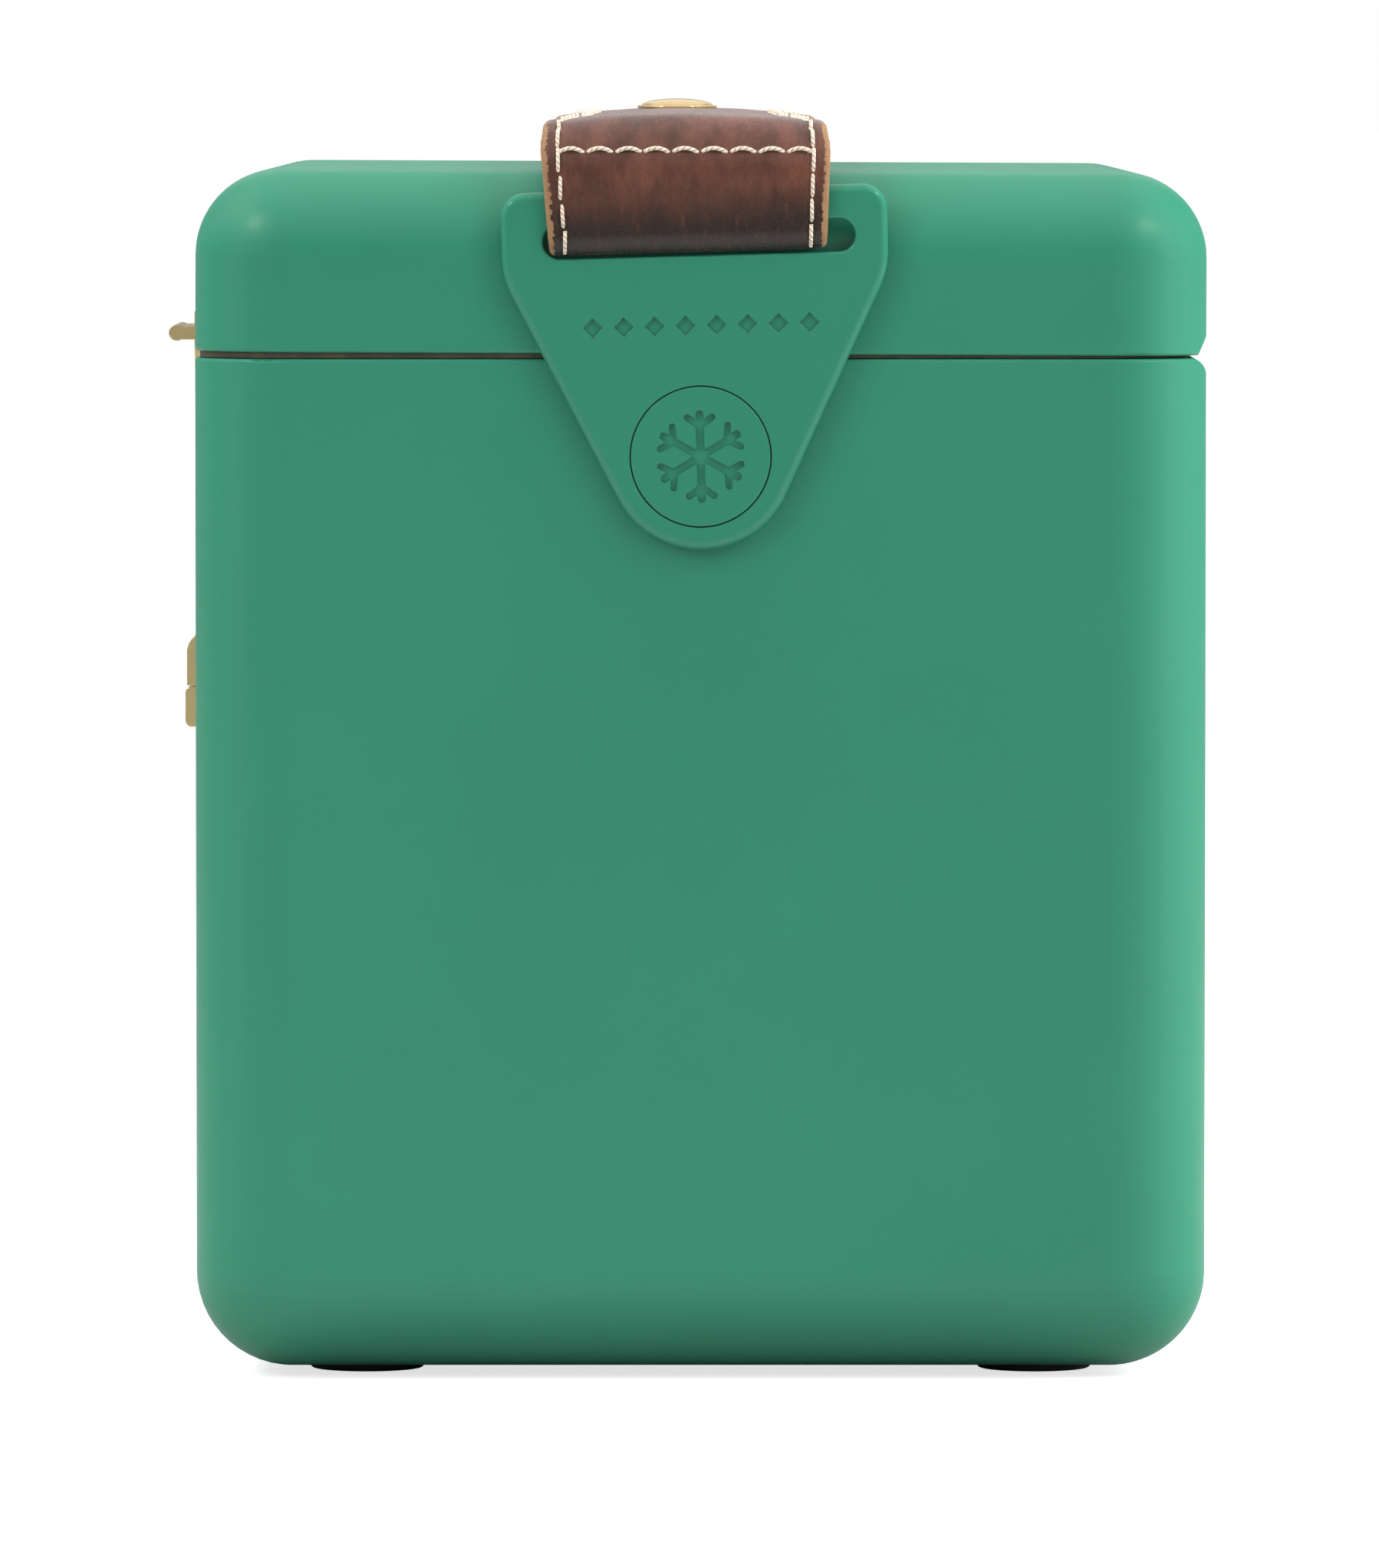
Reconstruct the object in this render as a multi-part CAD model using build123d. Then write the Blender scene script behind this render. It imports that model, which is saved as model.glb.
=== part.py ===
from build123d import *

import os
from math import atan2, cos, degrees, hypot, radians, sin, tan

# Portable hard cooler with a leather strap. X runs along its length, -Y is the front,
# +Z is up. Everything is drawn about the middle of the body and moved by ORIGIN_BACK and
# ORIGIN_UP at the end, which puts the origin on the floor under the middle of the whole
# cooler, latch and feet included. Millimetres.

ORIGIN_BACK = 5.5
ORIGIN_UP = 3.4

# Body and lid envelope
BODY_LENGTH = 346.0
BODY_DEPTH = 246.7
CORNER_RADIUS = 23.5
BODY_EDGE_RADIUS = 23.4
LID_EDGE_RADIUS = 21.0
BODY_BOTTOM = -1.1
BODY_TOP = 245.5
LID_BOTTOM = 246.15
LID_TOP = 290.6
WALL = 3.0
RIM_WIDTH = 22.0
RIM_THICKNESS = 5.0
RIM_EDGE_RADIUS = 0.9

# Insulated tub
TUB_LENGTH = 286.0
TUB_FLOOR = 33.0
LINER_WALL = 2.2
LINER_FLANGE = 2.5
TUB_RADIUS = 19.8
TUB_FLOOR_RADIUS = 8.0
PLUG_GAP = 2.5
PLUG_DROP = 10.0

# Lid hinge: axis, barrels and leaves
HINGE_Y = 119.45
HINGE_Z = 240.5
HINGE_X = 90.0
BARREL_RADIUS = 2.8
HINGE_PIN_RADIUS = 1.25
RUNNING_GAP = 0.05
ARM_HALF_WIDTH = 6.0
LEAF_HALF_WIDTH = 12.0
LEAF_THICKNESS = 2.0
LEAF_FRONT = 107.05
LEAF_BACK = 115.95
HINGE_SCREW_Y = 111.25
HINGE_SCREW_X = 8.0
ARM_BACK = 120.05
HINGE_BOSS_FRONT = 103.85
LID_REST_ANGLE = 0.24

# Gasket
GASKET_BOTTOM = 245.65
GASKET_TOP = 249.0
GASKET_LIP_INSET = 1.2
GASKET_OUTER_INSET = 4.0
GASKET_INNER_INSET = 10.0
GASKET_DETOUR = 19.0
GASKET_DETOUR_FRONT = 101.85
GASKET_DETOUR_BACK = 105.85

# Feet
FOOT_X = 130.0
FOOT_Y = 82.0
FOOT_RADIUS = 14.0
FOOT_BOTTOM = -3.4
FOOT_TOP = 2.9
FOOT_BOSS_TOP = 8.6

# End plates, their locks and the screws that hold them to the lid
PLATE_INSIDE = 173.4
PLATE_OUTSIDE = 178.0
PLATE_HALF_WIDTH = 46.8
PLATE_TOP = 286.9
PLATE_TAPER = 26.0
PLATE_TILT = 1.6
PLATE_EDGE_RADIUS = 2.0
LOCK_Z = 222.0
LOCK_BOSS_RADIUS = 22.7
STUD_RADIUS = 5.0
STUD_REACH = 176.6
DISC_RADIUS = 16.95
DISC_FLANGE_RADIUS = 18.9
DISC_BACK = 175.15
DISC_SHOULDER = 176.3
RETAINER_RADIUS = 20.5
RETAINER_BACK = 173.6
RETAINER_FRONT = 174.9
SLOT_LENGTH = 75.6
SLOT_HEIGHT = 8.0
SLOT_Z = 274.7
SLOT_Y = 1.1
SHOULDER_Y = 34.0
SHOULDER_Z = 262.0
SHOULDER_RADIUS = 2.0
ROCK_ANGLE = 3.0
ENGRAVING = 0.8
LOZENGE_SIZE = 3.4
LOZENGE_PITCH = 7.5
LOZENGE_MIDDLE = 1.0
LOZENGE_Z = 253.8

# Strap
STRAP_OUTSIDE = 180.9
STRAP_LEATHER = 2.6
STRAP_BEND = 15.0
STRAP_Y = -1.6
STRAP_CROWN = 305.8
STRAP_SHOULDER = 305.1
STRAP_TAIL = 1.0
STRAP_CORE = 2.3
STRAP_LINING = 1.8
STRAP_CORE_WIDTH = 52.0
BUTTON_Y = -1.9
BUTTON_RADIUS = 10.1
BUTTON_HEIGHT = 2.5

# Latch
LATCH_PIVOT_Y = -127.1
LATCH_PIVOT_Z = 166.0
LATCH_BOTTOM = 149.1
LATCH_STEP = 159.2
LATCH_TOP = 173.3
LATCH_PLATE = 1.6
LATCH_TAB_FACE = -130.5
LATCH_CHEEK_FACE = -130.1
LATCH_SCREW_X = 11.0
LATCH_SCREW_Z = 154.1
LATCH_PIN_RADIUS = 1.2
LATCH_HALF_WIDTH = 17.0
LEVER_HALF_WIDTH = 9.0
LEVER_THICKNESS = 1.8
LEVER_FACE = -127.9
LEVER_TOP = 254.4
LEVER_FLARE_Z = 228.0
LIP_HALF_WIDTH = 21.0
LIP_BOTTOM = 247.0
LIP_TOP = 251.0
LIP_REACH = -134.4
NOSE_REACH = -124.35
KEEPER_FACE = 0.75
KEEPER_RIDGE = 2.3

FRONT = -BODY_DEPTH / 2
BACK = BODY_DEPTH / 2
END = BODY_LENGTH / 2
SIDES = {"left": -1, "right": 1}
LEVEL = {"front": -1, "rear": 1}

parts = {}


# Basic shapes

def block(x0, x1, y0, y1, z0, z1):
    centre = Pos((x0 + x1) / 2, (y0 + y1) / 2, (z0 + z1) / 2)
    return centre * Box(abs(x1 - x0), abs(y1 - y0), abs(z1 - z0))


def along_x(sketch, x0, x1):
    """Extrude a sketch drawn with its x on Y and its y on Z."""
    return extrude(Plane.YZ.offset(min(x0, x1)) * sketch, abs(x1 - x0))


def rod_x(y, z, radius, x0, x1):
    return along_x(Pos(y, z) * Circle(radius), x0, x1)


def rod_y(x, z, radius, y0, y1):
    return Pos(x, (y0 + y1) / 2, z) * Rot(90, 0, 0) * Cylinder(radius, abs(y1 - y0))


def rod_z(x, y, radius, z0, z1):
    return Pos(x, y, (z0 + z1) / 2) * Cylinder(radius, abs(z1 - z0))


def outline(inset, radius, back_inset=None):
    """Rounded rectangle in plan, set in from the body's sides."""
    back_inset = inset if back_inset is None else back_inset
    depth = BODY_DEPTH - inset - back_inset
    shift = (inset - back_inset) / 2
    return Pos(0, shift) * RectangleRounded(BODY_LENGTH - 2 * inset, depth, radius)


def prism(sketch, z0, z1):
    return extrude(Pos(0, 0, z0) * sketch, z1 - z0)


def rounded_case(inset, edge_radius, z0, z1, round_face):
    """Box with its vertical edges and one horizontal end rounded."""
    case = block(inset - END, END - inset, FRONT + inset, BACK - inset, z0, z1)
    case = fillet(case.edges().filter_by(Axis.Z), CORNER_RADIUS - inset)
    return fillet(case.faces().sort_by(Axis.Z)[round_face].edges(), edge_radius)


def tub_case(grow, top):
    """Space inside the tub, or its outside when grow is the liner's wall."""
    inset = END - TUB_LENGTH / 2 - grow
    case = block(inset - END, END - inset, FRONT + inset, BACK - inset, TUB_FLOOR - grow, top)
    case = fillet(case.edges().filter_by(Axis.Z), TUB_RADIUS + grow)
    return fillet(case.faces().sort_by(Axis.Z)[0].edges(), TUB_FLOOR_RADIUS + grow)


def section(*points):
    return make_face(Polyline(*points, close=True))


def turned(shape, angle, y, z):
    """Turn a shape about an axis along X through (y, z)."""
    return shape.rotate(Axis((0, y, z), (1, 0, 0)), angle)


def on_lid(shape):
    """Place a piece drawn on the level lid where the lid rests, front edge a little up."""
    return turned(shape, -LID_REST_ANGLE, HINGE_Y, HINGE_Z)


def on_plate(shape):
    """Place a piece drawn on an upright end plate at the angle the plates hang."""
    return turned(shape, PLATE_TILT, 0, LOCK_Z)


def stud_path():
    """Slot that the fixed stud follows out of an end plate as the lid swings up."""
    reach = 14.0
    points = []
    for angle in (0, reach / 2, reach):
        a = radians(angle)
        y, z = -HINGE_Y, LOCK_Z - HINGE_Z
        points.append((HINGE_Y + y * cos(a) - z * sin(a), HINGE_Z + y * sin(a) + z * cos(a)))
    return SlotArc(ThreePointArc(*points), 2 * (STUD_RADIUS + 0.35))


# Body

def hinge_boss(x):
    return block(x - 16, x + 16, HINGE_BOSS_FRONT, BACK - 1.5, 232, BODY_TOP)


def hinge_pocket(x):
    leaf = block(x - 12.4, x + 12.4, LEAF_FRONT - 0.2, BACK + 1, 241.2, BODY_TOP + 1)
    barrel = block(x - 12.4, x + 12.4, LEAF_BACK - 0.1, BACK + 1, 236.8, BODY_TOP + 1)
    return leaf + barrel


def body_rear_round():
    """Rounded upper rear edge that leaves room for the lid to swing."""
    start, low = BACK - 3.6, 239.3
    arc = ThreePointArc((start, BODY_TOP), (BACK - 1.2, 244.0), (BACK, low))
    corners = ((BACK, low), (BACK + 2, low), (BACK + 2, BODY_TOP + 1), (start, BODY_TOP + 1), (start, BODY_TOP))
    return along_x(make_face(arc + Polyline(*corners)), -END - 1, END + 1)


def body_screws():
    screws = {}
    for side, sx in SIDES.items():
        for place, x in {"inner": HINGE_X - HINGE_SCREW_X, "outer": HINGE_X + HINGE_SCREW_X}.items():
            head = rod_z(sx * x, HINGE_SCREW_Y, 2.4, 243.3, 244.6)
            head -= rod_z(sx * x, HINGE_SCREW_Y, 1.1, 243.9, 245)
            shank = rod_z(sx * x, HINGE_SCREW_Y, 1.3, 233.5, 243.3)
            screws[f"hinge_body_screw_{side}_{place}"] = head + shank
        for level, sy in LEVEL.items():
            x, y = sx * FOOT_X, sy * FOOT_Y
            seat = FOOT_TOP - 1.4
            head = rod_z(x, y, 3.6, seat - 2.1, seat) - rod_z(x, y, 1.6, seat - 2.2, seat - 1)
            screws[f"foot_screw_{level}_{side}"] = head + rod_z(x, y, 1.6, seat, seat + 5.3)
        x, seat = sx * LATCH_SCREW_X, LATCH_TAB_FACE + 2.1
        head = rod_y(x, LATCH_SCREW_Z, 2.7, seat - 1.8, seat)
        head -= rod_y(x, LATCH_SCREW_Z, 1.2, seat - 2, seat - 0.7)
        screws[f"latch_screw_{side}"] = head + rod_y(x, LATCH_SCREW_Z, 1.5, seat, FRONT + 9)
    return screws


def build_body():
    outer = rounded_case(0, BODY_EDGE_RADIUS, BODY_BOTTOM, BODY_TOP, 0)
    top_edges = outer.faces().sort_by(Axis.Z)[-1].edges()
    outer = fillet(top_edges, RIM_EDGE_RADIUS) - body_rear_round()
    void = rounded_case(WALL, BODY_EDGE_RADIUS - WALL, BODY_BOTTOM + WALL, BODY_TOP - RIM_THICKNESS, 0)
    opening = prism(outline(RIM_WIDTH, 12), BODY_TOP - RIM_THICKNESS, BODY_TOP + 1)
    shell = outer - void - opening

    bosses = [block(-18, 18, FRONT + 1.5, FRONT + 10.5, LATCH_SCREW_Z - 7.6, LATCH_SCREW_Z + 7.4)]
    for sx in SIDES.values():
        bosses.append(hinge_boss(sx * HINGE_X))
        for sy in LEVEL.values():
            x, y = sx * FOOT_X, sy * FOOT_Y
            bosses.append(rod_z(x, y, FOOT_RADIUS + 3, BODY_BOTTOM + 1, FOOT_BOSS_TOP))
    for boss in bosses:
        shell += boss & outer
    for sx in SIDES.values():
        shell -= hinge_pocket(sx * HINGE_X)
        shell -= rod_x(0, LOCK_Z, STUD_RADIUS, sx * (END - WALL - 1), sx * (END + 1))
        for sy in LEVEL.values():
            shell -= rod_z(sx * FOOT_X, sy * FOOT_Y, FOOT_RADIUS, BODY_BOTTOM - 1, FOOT_TOP)

    screws = body_screws()
    for screw in screws.values():
        shell -= screw

    liner_body = tub_case(LINER_WALL, BODY_TOP)
    cavity = tub_case(0, BODY_TOP + 1)
    flange = prism(outline(RIM_WIDTH + 0.1, 11.9), BODY_TOP - LINER_FLANGE, BODY_TOP)
    liner = liner_body + flange - cavity

    collar = outline(RIM_WIDTH + 0.1, 11.9)
    foam = void + prism(collar, BODY_TOP - RIM_THICKNESS - 0.5, BODY_TOP - LINER_FLANGE)
    foam -= liner_body
    foam -= shell
    for sx in SIDES.values():
        foam -= rod_x(0, LOCK_Z, 9, sx * 166.4, sx * (END - WALL))
    foam = foam.solids().sort_by(SortBy.VOLUME)[-1]

    parts["outer_shell"] = shell
    parts["inner_liner"] = liner
    parts["body_foam"] = foam
    parts.update(screws)


def build_feet():
    for side, sx in SIDES.items():
        for level, sy in LEVEL.items():
            x, y = sx * FOOT_X, sy * FOOT_Y
            pad = rod_z(x, y, FOOT_RADIUS, FOOT_BOTTOM, FOOT_TOP)
            pad = fillet(pad.edges().sort_by(Axis.Z)[0], 0.9)
            pad -= rod_z(x, y, 4.2, FOOT_BOTTOM - 1, FOOT_TOP - 1.4)
            pad -= rod_z(x, y, 1.6, FOOT_TOP - 2, FOOT_TOP + 1)
            parts[f"foot_{level}_{side}"] = pad


def build_lock_studs():
    for side, sx in SIDES.items():
        stem = rod_x(0, LOCK_Z, STUD_RADIUS, sx * (END - WALL), sx * STUD_REACH)
        edge = stem.edges().filter_by(GeomType.CIRCLE).sort_by(Axis.X)
        stem = chamfer(edge[-1] if sx > 0 else edge[0], 0.5)
        parts[f"lock_stud_{side}"] = stem + rod_x(0, LOCK_Z, 9, sx * 166.4, sx * (END - WALL))


# Hinges

def build_hinges():
    for side, sx in SIDES.items():
        x = sx * HINGE_X
        axis_bore = rod_x(HINGE_Y, HINGE_Z, HINGE_PIN_RADIUS, x - 13, x + 13)
        leaf_z = HINGE_Z + BARREL_RADIUS
        leaf_bottom = leaf_z - LEAF_THICKNESS
        leaf = block(x - LEAF_HALF_WIDTH, x + LEAF_HALF_WIDTH, LEAF_FRONT, LEAF_BACK, leaf_bottom, leaf_z)
        for sign in (-1, 1):
            inner, outer = x + sign * (ARM_HALF_WIDTH + 0.3), x + sign * LEAF_HALF_WIDTH
            leaf += rod_x(HINGE_Y, HINGE_Z, BARREL_RADIUS, inner, outer)
            leaf += block(inner, outer, LEAF_BACK - 1, HINGE_Y, leaf_bottom, leaf_z)
        leaf -= axis_bore
        for offset in (-HINGE_SCREW_X, HINGE_SCREW_X):
            leaf -= rod_z(x + offset, HINGE_SCREW_Y, 1.3, 240, 245)
        parts[f"hinge_body_leaf_{side}"] = leaf

        pin = rod_x(HINGE_Y, HINGE_Z, HINGE_PIN_RADIUS, x - LEAF_HALF_WIDTH, x + LEAF_HALF_WIDTH)
        parts[f"hinge_pin_{side}"] = pin

        arm = rod_x(HINGE_Y, HINGE_Z, BARREL_RADIUS, x - ARM_HALF_WIDTH, x + ARM_HALF_WIDTH)
        arm += on_lid(block(x - ARM_HALF_WIDTH, x + ARM_HALF_WIDTH, ARM_BACK - 3, ARM_BACK, HINGE_Z, 248.75))
        arm += on_lid(block(x - ARM_HALF_WIDTH, x + ARM_HALF_WIDTH, LEAF_BACK - 1, ARM_BACK, 246.75, 248.75))
        arm += on_lid(block(x - LEAF_HALF_WIDTH, x + LEAF_HALF_WIDTH, LEAF_FRONT, LEAF_BACK, 246.75, 248.75))
        arm -= rod_x(HINGE_Y, HINGE_Z, HINGE_PIN_RADIUS + RUNNING_GAP, x - 13, x + 13)
        for place, offset in {"inner": -HINGE_SCREW_X, "outer": HINGE_SCREW_X}.items():
            at = x + sx * offset
            arm -= on_lid(rod_z(at, HINGE_SCREW_Y, 1.3, 245, 249))
            head = rod_z(at, HINGE_SCREW_Y, 2.4, 245.95, 246.75) - rod_z(at, HINGE_SCREW_Y, 1.1, 245.9, 246.3)
            shank = rod_z(at, HINGE_SCREW_Y, 1.3, 246.75, 255)
            parts[f"hinge_lid_screw_{side}_{place}"] = on_lid(head + shank)
        parts[f"hinge_lid_arm_{side}"] = arm


# Lid

def gasket_plan(inset):
    """Gasket ring in plan, with a detour inside each hinge."""
    ring = outline(inset, CORNER_RADIUS - inset, GASKET_OUTER_INSET)
    ring -= outline(GASKET_INNER_INSET, CORNER_RADIUS - GASKET_INNER_INSET)
    for sx in SIDES.values():
        depth = BACK - GASKET_OUTER_INSET - GASKET_DETOUR_FRONT
        middle = (BACK - GASKET_OUTER_INSET + GASKET_DETOUR_FRONT) / 2
        ring += Pos(sx * HINGE_X, middle) * Rectangle(2 * GASKET_DETOUR, depth)
        ring -= Pos(sx * HINGE_X, GASKET_DETOUR_BACK + 10) * Rectangle(26, 20)
    return ring


def shoulder_slot(sy, width):
    """Arc slot about the lock centre for a plate's shoulder screw."""
    reach = hypot(SHOULDER_Y, SHOULDER_Z - LOCK_Z)
    middle = degrees(atan2(SHOULDER_Z - LOCK_Z, sy * SHOULDER_Y))
    ends = [radians(middle + offset) for offset in (-ROCK_ANGLE - 0.4, 0, ROCK_ANGLE + 0.4)]
    return SlotArc(ThreePointArc(*[(reach * cos(a), LOCK_Z + reach * sin(a)) for a in ends]), width)


def build_lid():
    outer = rounded_case(0, LID_EDGE_RADIUS, LID_BOTTOM, LID_TOP, -1)
    bottom_edges = outer.faces().sort_by(Axis.Z)[0].edges()
    outer = fillet(bottom_edges, RIM_EDGE_RADIUS)
    wedge = section((BACK - 2.3, LID_BOTTOM), (BACK, LID_BOTTOM + 4.7), (BACK + 1, LID_BOTTOM - 1))
    outer -= along_x(wedge, -END - 1, END + 1)
    rim_top = LID_BOTTOM + RIM_THICKNESS
    void = rounded_case(WALL, LID_EDGE_RADIUS - WALL, rim_top, LID_TOP - WALL, -1)
    opening = prism(outline(RIM_WIDTH, 12), LID_BOTTOM - 1, rim_top)
    shell = outer - void - opening
    for sx in SIDES.values():
        x = sx * HINGE_X
        shell += block(x - 14, x + 14, HINGE_BOSS_FRONT, BACK - 1.5, rim_top - 0.5, 257)
        shell -= block(x - 12.3, x + 12.3, LEAF_FRONT - 0.2, LEAF_BACK + 0.2, LID_BOTTOM - 1, 248.75)
        shell -= block(x - 6.3, x + 6.3, LEAF_BACK, ARM_BACK + 0.1, LID_BOTTOM - 1, 248.75)
    shell += block(-13, 13, FRONT + 1.5, FRONT + 8.5, 253, 266)

    shell = on_lid(shell)
    shell -= prism(gasket_plan(GASKET_OUTER_INSET), GASKET_BOTTOM - 1, GASKET_TOP)
    for x0 in (-END - 1, END - WALL - 1):
        for sy in (-1, 1):
            shell -= along_x(shoulder_slot(sy, 2 * SHOULDER_RADIUS + 0.7), x0, x0 + WALL + 2)
    gasket = prism(gasket_plan(GASKET_LIP_INSET), GASKET_BOTTOM, GASKET_TOP) - shell
    gasket = gasket.solids().sort_by(SortBy.VOLUME)[-1]

    inset = END - TUB_LENGTH / 2 + PLUG_GAP
    plug_radius = TUB_RADIUS - PLUG_GAP
    plug = prism(outline(inset, plug_radius), LID_BOTTOM - PLUG_DROP, LID_BOTTOM + LINER_FLANGE)
    plug = fillet(plug.faces().sort_by(Axis.Z)[0].edges(), 4)
    flange = prism(outline(RIM_WIDTH + 0.1, 11.9), LID_BOTTOM, LID_BOTTOM + LINER_FLANGE)
    core = prism(
        outline(inset + LINER_WALL, plug_radius - LINER_WALL),
        LID_BOTTOM - PLUG_DROP + LINER_WALL,
        LID_BOTTOM + 4,
    )
    core = fillet(core.faces().sort_by(Axis.Z)[0].edges(), 4 - LINER_WALL)
    liner = on_lid(plug + flange - core)

    foam = void + prism(outline(RIM_WIDTH + 0.1, 11.9), LID_BOTTOM + LINER_FLANGE, rim_top + 0.5)
    foam = on_lid(foam + (core & prism(outline(RIM_WIDTH, 12), 230, rim_top))) - liner - shell
    for sx in SIDES.values():
        for sy in (-1, 1):
            foam -= along_x(shoulder_slot(sy, 11.5), sx * (END - WALL), sx * (END - WALL - 6))

    for side, sx in SIDES.items():
        for place in ("inner", "outer"):
            screw = parts[f"hinge_lid_screw_{side}_{place}"]
            shell -= screw
            foam -= screw

    parts["lid_shell"] = shell
    parts["lid_liner"] = liner
    parts["lid_foam"] = foam
    parts["lid_gasket"] = gasket


# End plates and locks

def plate_outline():
    taper = radians(PLATE_TAPER)
    run = PLATE_HALF_WIDTH - LOCK_BOSS_RADIUS * cos(taper)
    knee = LOCK_Z - LOCK_BOSS_RADIUS * sin(taper) + run / tan(taper)
    tip = LOCK_Z - LOCK_BOSS_RADIUS / sin(taper)
    corners = [
        (-PLATE_HALF_WIDTH, PLATE_TOP),
        (-PLATE_HALF_WIDTH, knee),
        (0, tip),
        (PLATE_HALF_WIDTH, knee),
        (PLATE_HALF_WIDTH, PLATE_TOP),
    ]
    return make_face(FilletPolyline(*corners, radius=[6, 20, LOCK_BOSS_RADIUS, 20, 6], close=True))


def snowflake():
    """Six plain arms with a small fork on each."""
    flake = Circle(1.9)
    for turn in range(6):
        flake += Rot(0, 0, 60 * turn) * Pos(5.6, 0) * SlotOverall(11.2, 1.9)
        for fork in (-1, 1):
            branch = Pos(7.4, 0) * Rot(0, 0, 55 * fork) * Pos(2, 0) * SlotOverall(5.0, 1.6)
            flake += Rot(0, 0, 60 * turn) * branch
    return flake


def build_end(side, sx):
    def span(sketch, near, far):
        return along_x(sketch, sx * near, sx * far)

    front = sx * PLATE_OUTSIDE
    plate = span(plate_outline(), PLATE_INSIDE, PLATE_OUTSIDE)
    faces = plate.faces().sort_by(Axis.X)
    plate = fillet((faces[-1] if sx > 0 else faces[0]).edges(), PLATE_EDGE_RADIUS)
    slot = Pos(SLOT_Y, SLOT_Z) * SlotOverall(SLOT_LENGTH, SLOT_HEIGHT)
    plate -= span(slot, PLATE_INSIDE - 1, PLATE_OUTSIDE + 1)
    rim = [e for e in plate.edges() if abs(e.center().X - front) < 0.01 and abs(e.center().Z - SLOT_Z) < 5]
    plate = fillet([e for e in rim if abs(e.center().Y - SLOT_Y) < SLOT_LENGTH / 2 + 1], 0.8)
    recess = Pos(0, PLATE_TOP - 7) * Rectangle(SLOT_LENGTH + 3, 22)
    plate -= span(recess, PLATE_INSIDE - 1, PLATE_INSIDE + 1.0)
    centre = Pos(0, LOCK_Z)
    plate -= span(centre * Circle(DISC_RADIUS + 0.3), DISC_BACK - 2, PLATE_OUTSIDE + 1)
    plate -= span(centre * Circle(DISC_FLANGE_RADIUS + 0.3), PLATE_INSIDE - 1, DISC_SHOULDER + 0.2)
    plate -= span(centre * Circle(RETAINER_RADIUS), PLATE_INSIDE - 1, RETAINER_FRONT)
    plate -= span(stud_path(), PLATE_INSIDE - 1, RETAINER_FRONT)
    for column in range(8):
        y = (column - 3.5) * LOZENGE_PITCH + LOZENGE_MIDDLE
        lozenge = Pos(y, LOZENGE_Z) * Rot(0, 0, 45) * Rectangle(LOZENGE_SIZE, LOZENGE_SIZE)
        plate -= span(lozenge, PLATE_OUTSIDE - ENGRAVING, PLATE_OUTSIDE + 1)

    retainer = span(centre * Circle(RETAINER_RADIUS), RETAINER_BACK, RETAINER_FRONT)
    retainer -= span(stud_path(), RETAINER_BACK - 1, RETAINER_FRONT + 1)

    disc = span(centre * Circle(DISC_FLANGE_RADIUS), DISC_BACK, DISC_SHOULDER)
    disc += span(centre * Circle(DISC_RADIUS), DISC_SHOULDER, PLATE_OUTSIDE)
    rim = [e for e in disc.edges().filter_by(GeomType.CIRCLE) if abs(e.center().X - front) < 0.01]
    disc = fillet(rim, 0.35)
    groove = turned(span(stud_path(), DISC_BACK - 1, STUD_REACH + 0.25), 90, 0, LOCK_Z)
    disc -= groove
    disc -= span(centre * Rot(0, 0, 30) * snowflake(), PLATE_OUTSIDE - ENGRAVING, PLATE_OUTSIDE + 1)

    for place, sy in LEVEL.items():
        y = sy * SHOULDER_Y
        plate -= rod_x(y, SHOULDER_Z, SHOULDER_RADIUS - 0.4, sx * (PLATE_INSIDE - 1), sx * 176.4)
        screw = rod_x(y, SHOULDER_Z, SHOULDER_RADIUS, sx * 169.7, sx * PLATE_INSIDE)
        screw += rod_x(y, SHOULDER_Z, SHOULDER_RADIUS - 0.4, sx * PLATE_INSIDE, sx * 176.4)
        screw += rod_x(y, SHOULDER_Z, 4.2, sx * 167.2, sx * 169.7)
        parts[f"shoulder_screw_{place}_{side}"] = on_plate(screw)

    parts[f"end_plate_{side}"] = on_plate(plate)
    parts[f"lock_retainer_{side}"] = on_plate(retainer)
    parts[f"lock_disc_{side}"] = on_plate(disc)


# Strap, drawn in the XZ plane and given its width by two outlines

def strap_width(widest):
    """Solid that trims the strap: flared at the ends, narrower over the lid."""
    ends = section((-33.2, 265), (-35.5, 297), (-34.2, 312), (34.2, 312), (35.5, 297), (33.2, 265))
    near = [(-190, -36), (-165, -36), (-120, -33), (0, -31), (120, -33), (165, -36), (190, -36)]
    far = [(x, -y) for x, y in reversed(near)]
    sides = prism(section(*near, *far), 265, 315)
    return along_x(ends, -190, 190) & sides & block(-190, 190, -widest / 2, widest / 2, 260, 320)


def strap_solid(face, widest=90):
    """Extrude a face drawn with its x on X and its y on Z, then trim its width."""
    sheet = extrude(Plane.XZ.offset(-40) * face, 80)
    return sheet & strap_width(widest)


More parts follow.
